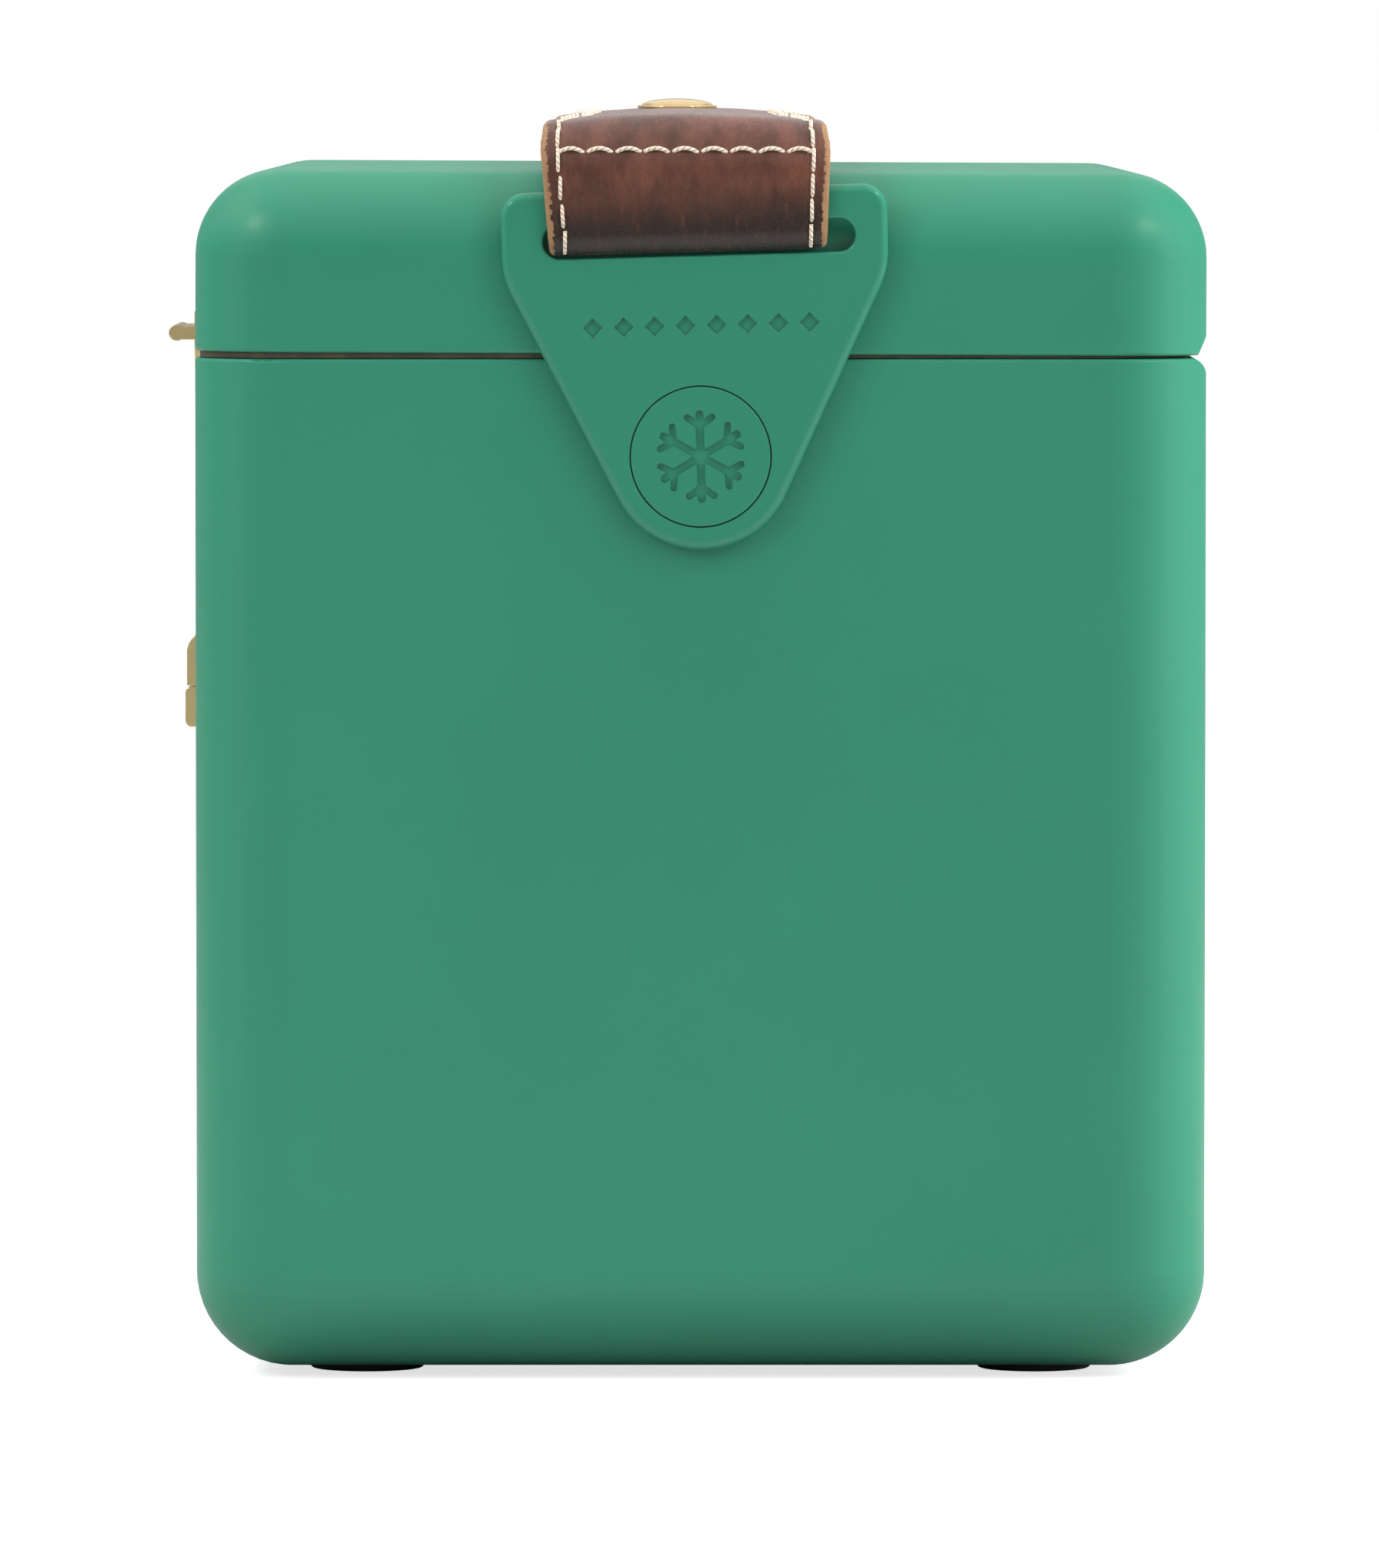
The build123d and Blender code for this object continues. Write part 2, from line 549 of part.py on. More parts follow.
def build_strap():
    bend_x = STRAP_OUTSIDE - STRAP_BEND
    bend_z = STRAP_SHOULDER - STRAP_BEND
    inner = STRAP_BEND - STRAP_LEATHER
    leg = STRAP_OUTSIDE - STRAP_LEATHER
    diagonal = sin(radians(45))
    crown = make_face(
        ThreePointArc((-bend_x, STRAP_SHOULDER), (0, STRAP_CROWN), (bend_x, STRAP_SHOULDER))
        + Line((bend_x, STRAP_SHOULDER), (bend_x, STRAP_SHOULDER - STRAP_LEATHER))
        + ThreePointArc(
            (bend_x, STRAP_SHOULDER - STRAP_LEATHER),
            (0, STRAP_CROWN - STRAP_LEATHER),
            (-bend_x, STRAP_SHOULDER - STRAP_LEATHER),
        )
        + Line((-bend_x, STRAP_SHOULDER - STRAP_LEATHER), (-bend_x, STRAP_SHOULDER))
    )
    loop_x, loop_z = 176.2, 276.2
    loop_out, loop_in = STRAP_OUTSIDE - loop_x, leg - loop_x
    tail_x = 173.0
    half = make_face(
        ThreePointArc(
            (bend_x, STRAP_SHOULDER),
            (bend_x + STRAP_BEND * diagonal, bend_z + STRAP_BEND * diagonal),
            (STRAP_OUTSIDE, bend_z),
        )
        + Line((STRAP_OUTSIDE, bend_z), (STRAP_OUTSIDE, loop_z))
        + ThreePointArc(
            (STRAP_OUTSIDE, loop_z),
            (loop_x + loop_out * diagonal, loop_z - loop_out * diagonal),
            (loop_x, loop_z - loop_out),
        )
        + ThreePointArc((loop_x, loop_z - loop_out), (174.3, 272.6), (tail_x, 276.6))
        + Polyline((tail_x, 276.6), (tail_x, 288.3), (175.2, 294.2), (173.3, 298.0))
        + Line((173.3, 298.0), (174.1, 298.7))
        + Polyline((174.1, 298.7), (176.4, 294.0), (tail_x + STRAP_TAIL, 287.8), (tail_x + STRAP_TAIL, 276.6))
        + ThreePointArc((tail_x + STRAP_TAIL, 276.6), (174.6, 274.9), (loop_x, loop_z - loop_in))
        + ThreePointArc(
            (loop_x, loop_z - loop_in),
            (loop_x + loop_in * diagonal, loop_z - loop_in * diagonal),
            (leg, loop_z),
        )
        + Line((leg, loop_z), (leg, bend_z))
        + ThreePointArc(
            (leg, bend_z),
            (bend_x + inner * diagonal, bend_z + inner * diagonal),
            (bend_x, STRAP_SHOULDER - STRAP_LEATHER),
        )
        + Line((bend_x, STRAP_SHOULDER - STRAP_LEATHER), (bend_x, STRAP_SHOULDER))
    )
    outer = strap_solid(crown) + strap_solid(half) + strap_solid(mirror(half, Plane.YZ))

    def layer(reach, top, thickness):
        side = STRAP_SHOULDER - STRAP_CROWN
        low = top + side - thickness
        return make_face(
            ThreePointArc((-reach, top + side), (0, top), (reach, top + side))
            + Line((reach, top + side), (reach, low))
            + ThreePointArc((reach, low), (0, top - thickness), (-reach, low))
            + Line((-reach, low), (-reach, top + side))
        )

    core_top = STRAP_CROWN - STRAP_LEATHER - 0.15
    lining_top = core_top - STRAP_CORE - 0.1
    core = strap_solid(layer(156, core_top, STRAP_CORE), STRAP_CORE_WIDTH)
    lining = strap_solid(layer(162, lining_top, STRAP_LINING))
    button_stem = rod_z(0, BUTTON_Y, 2.0, lining_top - STRAP_LINING, STRAP_CROWN + 0.5)
    outer -= button_stem
    core -= button_stem
    lining -= button_stem

    dome_radius = (BUTTON_RADIUS ** 2 + BUTTON_HEIGHT ** 2) / (2 * BUTTON_HEIGHT)
    dome = Pos(0, BUTTON_Y, STRAP_CROWN + BUTTON_HEIGHT - dome_radius) * Sphere(dome_radius)
    dome &= rod_z(0, BUTTON_Y, BUTTON_RADIUS + 1, STRAP_CROWN, STRAP_CROWN + 5)
    button = dome + rod_z(0, BUTTON_Y, 2.0, lining_top - STRAP_LINING, STRAP_CROWN)
    washer_bottom = lining_top - STRAP_LINING - 0.9
    washer = rod_z(0, BUTTON_Y, 6.5, washer_bottom, washer_bottom + 0.85)
    washer = fillet(washer.edges().sort_by(Axis.Z)[0], 0.4)

    layers = {"outer": outer, "core": core, "lining": lining, "button": button, "button_washer": washer}
    for layer_name, shape in layers.items():
        parts[f"strap_{layer_name}"] = on_plate(Pos(0, STRAP_Y, 0) * shape)


# Latch

def build_latch():
    plate = block(-LATCH_HALF_WIDTH, LATCH_HALF_WIDTH, FRONT - LATCH_PLATE, FRONT, LATCH_BOTTOM, LATCH_TOP + 1)
    tab = block(-LATCH_HALF_WIDTH, LATCH_HALF_WIDTH, LATCH_TAB_FACE, FRONT, LATCH_BOTTOM, LATCH_STEP)
    tab = fillet(tab.faces().sort_by(Axis.Y)[0].edges().filter_by(Axis.X), 1.6)
    base = plate + tab
    cheek = section(
        (FRONT, LATCH_STEP + 0.4),
        (LATCH_CHEEK_FACE, LATCH_STEP + 0.4),
        (LATCH_CHEEK_FACE, LATCH_TOP),
        (FRONT, LATCH_TOP),
    )
    cheek = fillet(cheek.vertices().sort_by(Axis.Z)[-2:].sort_by(Axis.Y)[0], 5.4)
    for sx in (-1, 1):
        base += along_x(cheek, sx * (LEVER_HALF_WIDTH + 0.4), sx * LATCH_HALF_WIDTH)
    base -= rod_x(LATCH_PIVOT_Y, LATCH_PIVOT_Z, LATCH_PIN_RADIUS, -16, 16)
    base -= rod_x(LATCH_PIVOT_Y, LATCH_PIVOT_Z, 2.8, -LEVER_HALF_WIDTH - 0.4, LEVER_HALF_WIDTH + 0.4)
    seat = LATCH_TAB_FACE + 2.1
    for sx in (-1, 1):
        base -= rod_y(sx * LATCH_SCREW_X, LATCH_SCREW_Z, 2.7, seat - 4, seat)
        base -= rod_y(sx * LATCH_SCREW_X, LATCH_SCREW_Z, 1.5, seat - 1, FRONT + 2)
    parts["latch_base"] = base
    parts["latch_pin"] = rod_x(LATCH_PIVOT_Y, LATCH_PIVOT_Z, LATCH_PIN_RADIUS, -16, 16)

    back = LEVER_FACE + LEVER_THICKNESS
    blade = block(-LEVER_HALF_WIDTH, LEVER_HALF_WIDTH, LEVER_FACE, back, LATCH_PIVOT_Z, 236)
    flare = section(
        (-LEVER_HALF_WIDTH, LEVER_FLARE_Z),
        (-LIP_HALF_WIDTH, LEVER_FLARE_Z + 18),
        (-LIP_HALF_WIDTH, LEVER_TOP),
        (LIP_HALF_WIDTH, LEVER_TOP),
        (LIP_HALF_WIDTH, LEVER_FLARE_Z + 18),
        (LEVER_HALF_WIDTH, LEVER_FLARE_Z),
    )
    blade += extrude(Plane.XZ.offset(-back) * flare, LEVER_THICKNESS)
    bead = (LIP_TOP - LIP_BOTTOM) / 2
    bead_y = LIP_REACH + bead
    low, high = LIP_BOTTOM + 0.3, LIP_TOP - 0.35
    web = section((bead_y, low), (back, low), (back, high), (bead_y, high))
    lip = Pos(bead_y, LIP_BOTTOM + bead) * Circle(bead) + web
    blade += along_x(lip, -LIP_HALF_WIDTH, LIP_HALF_WIDTH)
    nose = section((back, 252.1), (NOSE_REACH, 252.3), (NOSE_REACH, 253.2), (back, LEVER_TOP))
    blade += along_x(nose, -LEVER_HALF_WIDTH, LEVER_HALF_WIDTH)
    lever = blade + rod_x(LATCH_PIVOT_Y, LATCH_PIVOT_Z, 2.4, -LEVER_HALF_WIDTH, LEVER_HALF_WIDTH)
    lever -= rod_x(LATCH_PIVOT_Y, LATCH_PIVOT_Z, LATCH_PIN_RADIUS + RUNNING_GAP, -16, 16)
    parts["latch_lever"] = lever

    keeper_front = FRONT - KEEPER_FACE
    keeper = block(-11, 11, keeper_front, FRONT, 248.2, 264.5)
    keeper = fillet(keeper.edges().filter_by(Axis.Y), 1.5)
    ridge_front = FRONT - KEEPER_RIDGE
    ridge = section((FRONT - 0.3, 248.4), (ridge_front, 248.6), (ridge_front, 250.3), (FRONT - 0.3, 250.4))
    keeper += along_x(ridge, -10, 10)
    for side, sx in SIDES.items():
        x = sx * 6.5
        head = rod_y(x, 260, 2.0, keeper_front - 0.6, keeper_front)
        screw = on_lid(head + rod_y(x, 260, 1.2, keeper_front, FRONT + 7.5))
        keeper -= rod_y(x, 260, 1.2, FRONT - 2, FRONT + 1)
        parts["lid_shell"] -= screw
        parts["lid_foam"] -= screw
        parts[f"keeper_screw_{side}"] = screw
    parts["latch_keeper"] = on_lid(keeper)


build_body()
build_feet()
build_lock_studs()
build_hinges()
build_lid()
for side_name, side_sign in SIDES.items():
    build_end(side_name, side_sign)
build_strap()
build_latch()

os.makedirs("parts", exist_ok=True)
for name, shape in parts.items():
    export_step(Pos(0, ORIGIN_BACK, ORIGIN_UP) * shape, f"parts/{name}.step")
print(f"{len(parts)} parts written")
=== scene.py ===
import math

import bmesh
import bpy
import numpy as np
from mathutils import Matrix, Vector, noise


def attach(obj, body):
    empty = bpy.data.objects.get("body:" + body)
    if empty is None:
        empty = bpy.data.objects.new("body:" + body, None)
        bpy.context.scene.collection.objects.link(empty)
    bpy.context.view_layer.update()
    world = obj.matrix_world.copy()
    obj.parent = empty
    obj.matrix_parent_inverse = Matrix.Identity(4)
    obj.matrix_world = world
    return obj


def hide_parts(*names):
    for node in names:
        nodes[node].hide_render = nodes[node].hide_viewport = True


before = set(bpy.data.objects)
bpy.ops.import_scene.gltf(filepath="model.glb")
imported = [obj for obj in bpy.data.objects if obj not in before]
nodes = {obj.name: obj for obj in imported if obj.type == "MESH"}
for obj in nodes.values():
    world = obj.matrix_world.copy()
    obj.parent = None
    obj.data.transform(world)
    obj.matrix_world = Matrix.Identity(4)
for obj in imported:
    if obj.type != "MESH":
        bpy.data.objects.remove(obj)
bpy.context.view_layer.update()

# Portable cooler: moulded green body and lid, an end plate and lock at each end,
# a stitched leather strap over the lid and a brass latch on the front.

mm = 0.001
print("frame loaded:", len(nodes), "nodes")


# Helpers for shader trees

def srgb(r, g, b):
    def linear(c):
        c = c / 255
        return c / 12.92 if c <= 0.04045 else ((c + 0.055) / 1.055) ** 2.4
    return (linear(r), linear(g), linear(b), 1.0)


def shaded(colour, factor):
    return tuple(min(1.0, c * factor) for c in colour[:3]) + (1.0,)


def addNode(tree, kind, inputs=None, **props):
    node = tree.nodes.new(kind)
    for key, value in props.items():
        setattr(node, key, value)
    for key, value in (inputs or {}).items():
        socket = node.inputs[key]
        if isinstance(value, bpy.types.NodeSocket):
            tree.links.new(value, socket)
        else:
            socket.default_value = value
    return node


def noiseTex(tree, vector, scale, detail=3.0, roughness=0.5):
    sizesIn = {"Vector": vector, "Scale": scale, "Detail": detail, "Roughness": roughness}
    return addNode(tree, "ShaderNodeTexNoise", sizesIn).outputs["Fac"]


def stretched(tree, vector, scale, turn=(0.0, 0.0, 0.0)):
    node = addNode(tree, "ShaderNodeMapping", {"Vector": vector, "Scale": scale, "Rotation": turn})
    return node.outputs["Vector"]


def ranged(tree, value, low, high, first, last, smooth=False):
    node = addNode(tree, "ShaderNodeMapRange", {
        "Value": value, "From Min": low, "From Max": high, "To Min": first, "To Max": last})
    node.interpolation_type = "SMOOTHSTEP" if smooth else "LINEAR"
    return node.outputs["Result"]


def mixed(tree, factor, first, second, blend="MIX"):
    node = addNode(tree, "ShaderNodeMix", data_type="RGBA", blend_type=blend)
    for index, value in ((0, factor), (6, first), (7, second)):
        if isinstance(value, bpy.types.NodeSocket):
            tree.links.new(value, node.inputs[index])
        else:
            node.inputs[index].default_value = value
    return node.outputs[2]


def maths(tree, operation, first, second=0.0):
    node = addNode(tree, "ShaderNodeMath", operation=operation)
    for index, value in enumerate((first, second)):
        if isinstance(value, bpy.types.NodeSocket):
            tree.links.new(value, node.inputs[index])
        else:
            node.inputs[index].default_value = value
    return node.outputs[0]


def bumped(tree, height, distance, normal=None, strength=1.0):
    node = addNode(tree, "ShaderNodeBump", {"Height": height, "Distance": distance, "Strength": strength})
    if normal is not None:
        tree.links.new(normal, node.inputs["Normal"])
    return node.outputs["Normal"]


def startMaterial(name):
    material = bpy.data.materials.new(name)
    material.use_nodes = True
    tree = material.node_tree
    surface = tree.nodes["Principled BSDF"]
    coords = addNode(tree, "ShaderNodeTexCoord").outputs["Object"]
    return material, tree, surface, coords


def connect(tree, surface, **sources):
    names = {"colour": "Base Color", "roughness": "Roughness", "normal": "Normal", "metallic": "Metallic",
             "sheen": "Sheen Weight", "coat": "Coat Weight", "specular": "Specular IOR Level"}
    for key, value in sources.items():
        socket = surface.inputs[names[key]]
        if isinstance(value, bpy.types.NodeSocket):
            tree.links.new(value, socket)
        else:
            socket.default_value = value


def softEdge(tree, radius):
    return addNode(tree, "ShaderNodeBevel", {"Radius": radius}, samples=4).outputs["Normal"]


# Moulded plastics

shellLook = {
    "colour": (0.019, 0.207, 0.123, 1.0),
    "roughness": 0.38,
    "cloudScale": 9.0,
    "cloudDepth": 0.05,
    "peelScale": 650.0,
    "peelDepth": 0.012 * mm,
    "scuffAmount": 0.05,
    "edgeRadius": 0.35 * mm,
}
plateLook = dict(
    shellLook, colour=(0.023, 0.205, 0.123, 1.0), roughness=0.17, peelDepth=0.004 * mm, scuffAmount=0.02,
)
linerLook = dict(
    shellLook, colour=srgb(218, 213, 198), roughness=0.34, cloudDepth=0.03, peelDepth=0.02 * mm,
)


def mouldedPlastic(name, look):
    material, tree, surface, coords = startMaterial(name)
    cloud = noiseTex(tree, coords, look["cloudScale"], 4.0)
    light = shaded(look["colour"], 1 + look["cloudDepth"])
    dark = shaded(look["colour"], 1 - look["cloudDepth"])
    colour = mixed(tree, ranged(tree, cloud, 0.3, 0.7, 0.0, 1.0), dark, light)
    scratches = noiseTex(tree, stretched(tree, coords, (70.0, 1500.0, 40.0), (0.3, 0.1, 0.5)), 1.0, 2.0)
    hairline = ranged(tree, scratches, 0.68, 0.74, 0.0, 1.0, True)
    patches = ranged(tree, noiseTex(tree, coords, 38.0, 5.0, 0.6), 0.35, 0.7, -0.5, 0.5)
    rough = maths(tree, "ADD", look["roughness"], maths(tree, "MULTIPLY", patches, look["scuffAmount"]))
    rough = maths(tree, "ADD", rough, maths(tree, "MULTIPLY", hairline, look["scuffAmount"]))
    edge = softEdge(tree, look["edgeRadius"])
    peel = bumped(tree, noiseTex(tree, coords, look["peelScale"], 1.0), look["peelDepth"], edge)
    connect(tree, surface, colour=colour, roughness=rough, normal=peel)
    surface.inputs["IOR"].default_value = 1.49
    return material


greenShell = mouldedPlastic("greenShell", shellLook)
greenPlate = mouldedPlastic("greenPlate", plateLook)
creamLiner = mouldedPlastic("creamLiner", linerLook)


# Soft polymers: foam, gasket and feet

foamLook = {"colour": srgb(226, 214, 178), "cellScale": 900.0, "cellDepth": 0.25 * mm}
gasketLook = {
    "colour": srgb(58, 52, 38),
    "dustColour": srgb(96, 86, 64),
    "roughness": 0.5,
    "grainDepth": 0.03 * mm,
}
footLook = {
    "colour": srgb(38, 40, 38),
    "dustColour": srgb(74, 74, 68),
    "roughness": 0.72,
    "grainDepth": 0.04 * mm,
}


def cellFoam(name, look):
    material, tree, surface, coords = startMaterial(name)
    bubbles = addNode(tree, "ShaderNodeTexVoronoi", {"Vector": coords, "Scale": look["cellScale"]})
    cells = bubbles.outputs["Distance"]
    tone = noiseTex(tree, coords, 24.0, 3.0)
    base = mixed(tree, tone, shaded(look["colour"], 0.9), look["colour"])
    colour = mixed(tree, ranged(tree, cells, 0.0, 0.35, 0.35, 0.0), base, shaded(look["colour"], 0.6))
    connect(tree, surface, colour=colour, roughness=0.95, normal=bumped(tree, cells, look["cellDepth"]))
    return material


def rubber(name, look):
    material, tree, surface, coords = startMaterial(name)
    dust = ranged(tree, noiseTex(tree, coords, 130.0, 6.0, 0.65), 0.45, 0.75, 0.0, 0.7)
    colour = mixed(tree, dust, look["colour"], look["dustColour"])
    grain = noiseTex(tree, coords, 1400.0, 2.0)
    rough = ranged(tree, dust, 0.0, 0.7, look["roughness"], min(1.0, look["roughness"] + 0.2))
    normal = bumped(tree, grain, look["grainDepth"], softEdge(tree, 0.3 * mm))
    connect(tree, surface, colour=colour, roughness=rough, normal=normal)
    return material


insulation = cellFoam("insulation", foamLook)
gasketRubber = rubber("gasketRubber", gasketLook)
footRubber = rubber("footRubber", footLook)


# Metals

brassLook = {
    "colour": srgb(232, 204, 150),
    "tarnishColour": srgb(188, 148, 92),
    "tarnishAmount": 0.3,
    "metallic": 0.75,
    "roughness": 0.17,
    "edgeRadius": 0.4 * mm,
    "grainDepth": 0.004 * mm,
}
steelLook = {
    "colour": srgb(196, 196, 192),
    "tarnishColour": srgb(140, 140, 136),
    "tarnishAmount": 0.5,
    "metallic": 1.0,
    "roughness": 0.28,
    "edgeRadius": 0.25 * mm,
    "grainDepth": 0.006 * mm,
}


def turnedMetal(name, look, grain):
    material, tree, surface, coords = startMaterial(name)
    tarnish = ranged(tree, noiseTex(tree, coords, 90.0, 5.0, 0.6), 0.5, 0.8, 0.0, look["tarnishAmount"])
    colour = mixed(tree, tarnish, look["colour"], look["tarnishColour"])
    lines = noiseTex(tree, stretched(tree, coords, grain), 1.0, 2.0)
    rough = maths(tree, "ADD", look["roughness"], maths(tree, "MULTIPLY", tarnish, 0.35))
    rough = maths(tree, "ADD", rough, ranged(tree, lines, 0.3, 0.7, -0.04, 0.05))
    normal = bumped(tree, lines, look["grainDepth"], softEdge(tree, look["edgeRadius"]))
    connect(tree, surface, colour=colour, roughness=rough, normal=normal, metallic=look["metallic"])
    return material


paleBrass = turnedMetal("paleBrass", brassLook, (120.0, 900.0, 3200.0))
plainSteel = turnedMetal("plainSteel", steelLook, (2600.0, 300.0, 300.0))


# Leather, its lining, its core and the thread

leatherLook = {
    "darkColour": srgb(70, 40, 29),
    "lightColour": srgb(106, 62, 46),
    # painted shade: the near-black colour the leg takes towards the slot
    "paintedShadeColour": srgb(24, 17, 11),
    "edgeColour": srgb(176, 132, 92),
    "roughness": 0.3,
    "grainScale": 1500.0,
    "grainDepth": 0.10 * mm,
    "wrinkleDepth": 0.22 * mm,
    "bloom": 0.12,
}
threadLook = {
    "colour": srgb(240, 222, 204),
    # painted shade in the ply grooves, also used for the random fluff
    "grooveShadeAndFluffColour": srgb(168, 148, 116),
    "plies": 5.0,
    "plyDepth": 0.10 * mm,
}
liningLook = {"colour": srgb(116, 82, 58), "napScale": 2200.0, "napDepth": 0.12 * mm}


def strapLeather(name, look):
    material, tree, surface, coords = startMaterial(name)
    run = addNode(tree, "ShaderNodeUVMap", uv_map="strapUV").outputs["UV"]
    drop = addNode(tree, "ShaderNodeAttribute", attribute_name="legDrop").outputs["Fac"]
    raw = addNode(tree, "ShaderNodeAttribute", attribute_name="rawEdge").outputs["Fac"]

    # Clouded pull-up tone, with painted shade darkening it towards the slot
    cloud = noiseTex(tree, stretched(tree, run, (60.0, 110.0, 1.0)), 1.0, 5.0, 0.62)
    cloud = ranged(tree, cloud, 0.34, 0.68, 0.0, 1.0, True)
    tone = mixed(tree, cloud, look["darkColour"], look["lightColour"])
    # painted shade: the leg darkens towards the slot, where it curves back into shadow
    paintedSlotShade = ranged(tree, drop, 0.45, 0.85, 0.0, 0.92, True)
    tone = mixed(tree, paintedSlotShade, tone, look["paintedShadeColour"])
    pores = noiseTex(tree, coords, look["grainScale"], 3.0, 0.6)
    tone = mixed(tree, ranged(tree, pores, 0.3, 0.5, 0.25, 0.0), tone, shaded(look["darkColour"], 0.55))

    # Fine creases across the strap, with a painted highlight lightening their crests
    wrinkles = noiseTex(tree, stretched(tree, run, (120.0, 620.0, 1.0)), 1.0, 5.0, 0.7)
    paintedCrestHighlight = ranged(tree, wrinkles, 0.52, 0.74, 0.0, 1.0, True)
    # painted highlight: a lighter copy of the leather colour on the crease crests
    tone = mixed(tree, maths(tree, "MULTIPLY", paintedCrestHighlight, 0.22), tone, shaded(look["lightColour"], 1.5))

    # Bare fibres on the cut edges
    fray = ranged(tree, noiseTex(tree, coords, 900.0, 4.0), 0.3, 0.7, -0.3, 0.3)
    ragged = maths(tree, "ADD", raw, fray)
    bare = ranged(tree, ragged, 0.42, 0.62, 0.0, 1.0, True)
    fibre = noiseTex(tree, coords, 2600.0, 3.0, 0.7)
    edgeTone = mixed(tree, fibre, shaded(look["edgeColour"], 0.45), look["edgeColour"])
    colour = mixed(tree, bare, tone, edgeTone)

    rough = maths(tree, "ADD", look["roughness"], ranged(tree, pores, 0.3, 0.7, 0.1, -0.08))
    rough = maths(tree, "ADD", rough, maths(tree, "MULTIPLY", bare, 0.5))
    normal = bumped(tree, wrinkles, look["wrinkleDepth"])
    normal = bumped(tree, pores, look["grainDepth"], normal)
    normal = bumped(tree, maths(tree, "MULTIPLY", fibre, bare), 0.35 * mm, normal)
    connect(tree, surface, colour=colour, roughness=rough, normal=normal, sheen=look["bloom"])
    surface.inputs["Sheen Roughness"].default_value = 0.45
    return material


def stitchThread(name, look):
    material, tree, surface, coords = startMaterial(name)
    along = addNode(tree, "ShaderNodeAttribute", attribute_name="threadAlong").outputs["Fac"]
    around = addNode(tree, "ShaderNodeAttribute", attribute_name="threadAround").outputs["Fac"]
    twists = maths(tree, "MULTIPLY", along, look["plies"])
    turns = maths(tree, "ADD", twists, maths(tree, "MULTIPLY", around, 2.0))
    wave = maths(tree, "SINE", maths(tree, "MULTIPLY", turns, math.tau))
    fluff = noiseTex(tree, coords, 5200.0, 3.0, 0.7)
    # painted shade: the grooves between the plies take a darker colour, which the random fluff also uses
    ply = ranged(tree, wave, -1.0, -0.1, 0.0, 1.0, True)
    colour = mixed(tree, ply, look["grooveShadeAndFluffColour"], look["colour"])
    colour = mixed(tree, ranged(tree, fluff, 0.3, 0.6, 0.3, 0.0), colour, look["grooveShadeAndFluffColour"])
    normal = bumped(tree, wave, look["plyDepth"])
    connect(tree, surface, colour=colour, roughness=0.6, normal=normal, sheen=0.3)
    return material


def nappedLayer(name, look):
    material, tree, surface, coords = startMaterial(name)
    nap = noiseTex(tree, coords, look["napScale"], 4.0, 0.7)
    cloud = noiseTex(tree, coords, 45.0, 4.0)
    tone = mixed(tree, cloud, shaded(look["colour"], 0.7), shaded(look["colour"], 1.15))
    colour = mixed(tree, ranged(tree, nap, 0.3, 0.6, 0.5, 0.0), tone, shaded(look["colour"], 0.45))
    normal = bumped(tree, nap, look["napDepth"])
    connect(tree, surface, colour=colour, roughness=0.9, normal=normal, sheen=0.35)
    return material


leather = strapLeather("leather", leatherLook)
thread = stitchThread("thread", threadLook)
lining = nappedLayer("lining", liningLook)
strapFelt = nappedLayer("strapFelt", dict(liningLook, colour=srgb(150, 140, 122)))

finishes = {
    "foot_screw": plainSteel, "foot": footRubber, "hinge_body_leaf": plainSteel, "hinge_lid_arm": plainSteel,
    "hinge_body_screw": plainSteel, "hinge_lid_screw": plainSteel, "hinge_pin": plainSteel,
    "shoulder_screw": plainSteel, "lock_stud": plainSteel, "outer_shell": greenShell, "lid_shell": greenShell,
    "inner_liner": creamLiner, "lid_liner": creamLiner, "body_foam": insulation, "lid_foam": insulation,
    "lid_gasket": gasketRubber, "end_plate": greenPlate, "lock_disc": greenPlate, "lock_retainer": greenPlate,
    "latch": paleBrass, "keeper_screw": paleBrass, "strap_button": paleBrass, "strap_outer": leather,
    "strap_core": strapFelt, "strap_lining": lining,
}
for nodeName, part in nodes.items():
    prefix = max((key for key in finishes if nodeName.startswith(key)), key=len)
    part.data.materials.clear()
    part.data.materials.append(finishes[prefix])
print("finishes placed")


# Strap: shape shared by its three layers

strapShape = {
    "tilt": 1.6,
    "tiltHeight": 222.0,
    "levelFrom": 276.0,
    "levelTo": 296.0,
    "shift": -1.6,
    "originBack": 5.5,
    "originUp": 3.4,
    "outside": 180.9,
    "bendRadius": 15.0,
    "shoulder": 305.1,
    "crown": 305.8,
    "thickness": 2.6,
    "tailThickness": 1.0,
    "loopX": 176.2,
    "loopZ": 276.2,
    "loopRadius": 4.7,
    "crownDrop": 2.1,
    "edgeWidth": 1.9,
    "edgeDrop": 1.35,
    "stitchInset": 4.0,
    "crownStitchInset": 9.5,
    "grooveDepth": 0.32,
    "ripple": 0.12,
    "legHeights": (265, 297, 312),
    "legHalfWidths": (33.2, 35.1, 33.8),
    "crownReaches": (0, 120, 165),
    "crownHalfWidths": (31, 33, 36),
    "insetReaches": (130, 172),
    # x, z and thickness down the back of the plate and up behind the leg
    "tail": (
        (174.6, 272.3, 1.4), (173.5, 274.0, 1.1), (173.05, 276.6, 1.0), (173.0, 280.5, 1.0),
        (173.0, 284.4, 1.0), (173.1, 288.3, 1.0), (174.0, 291.0, 1.0), (175.0, 293.4, 1.0),
        (174.6, 295.8, 1.0), (173.5, 298.0, 1.0),
    ),
}
bendX = strapShape["outside"] - strapShape["bendRadius"]
bendZ = strapShape["shoulder"] - strapShape["bendRadius"]


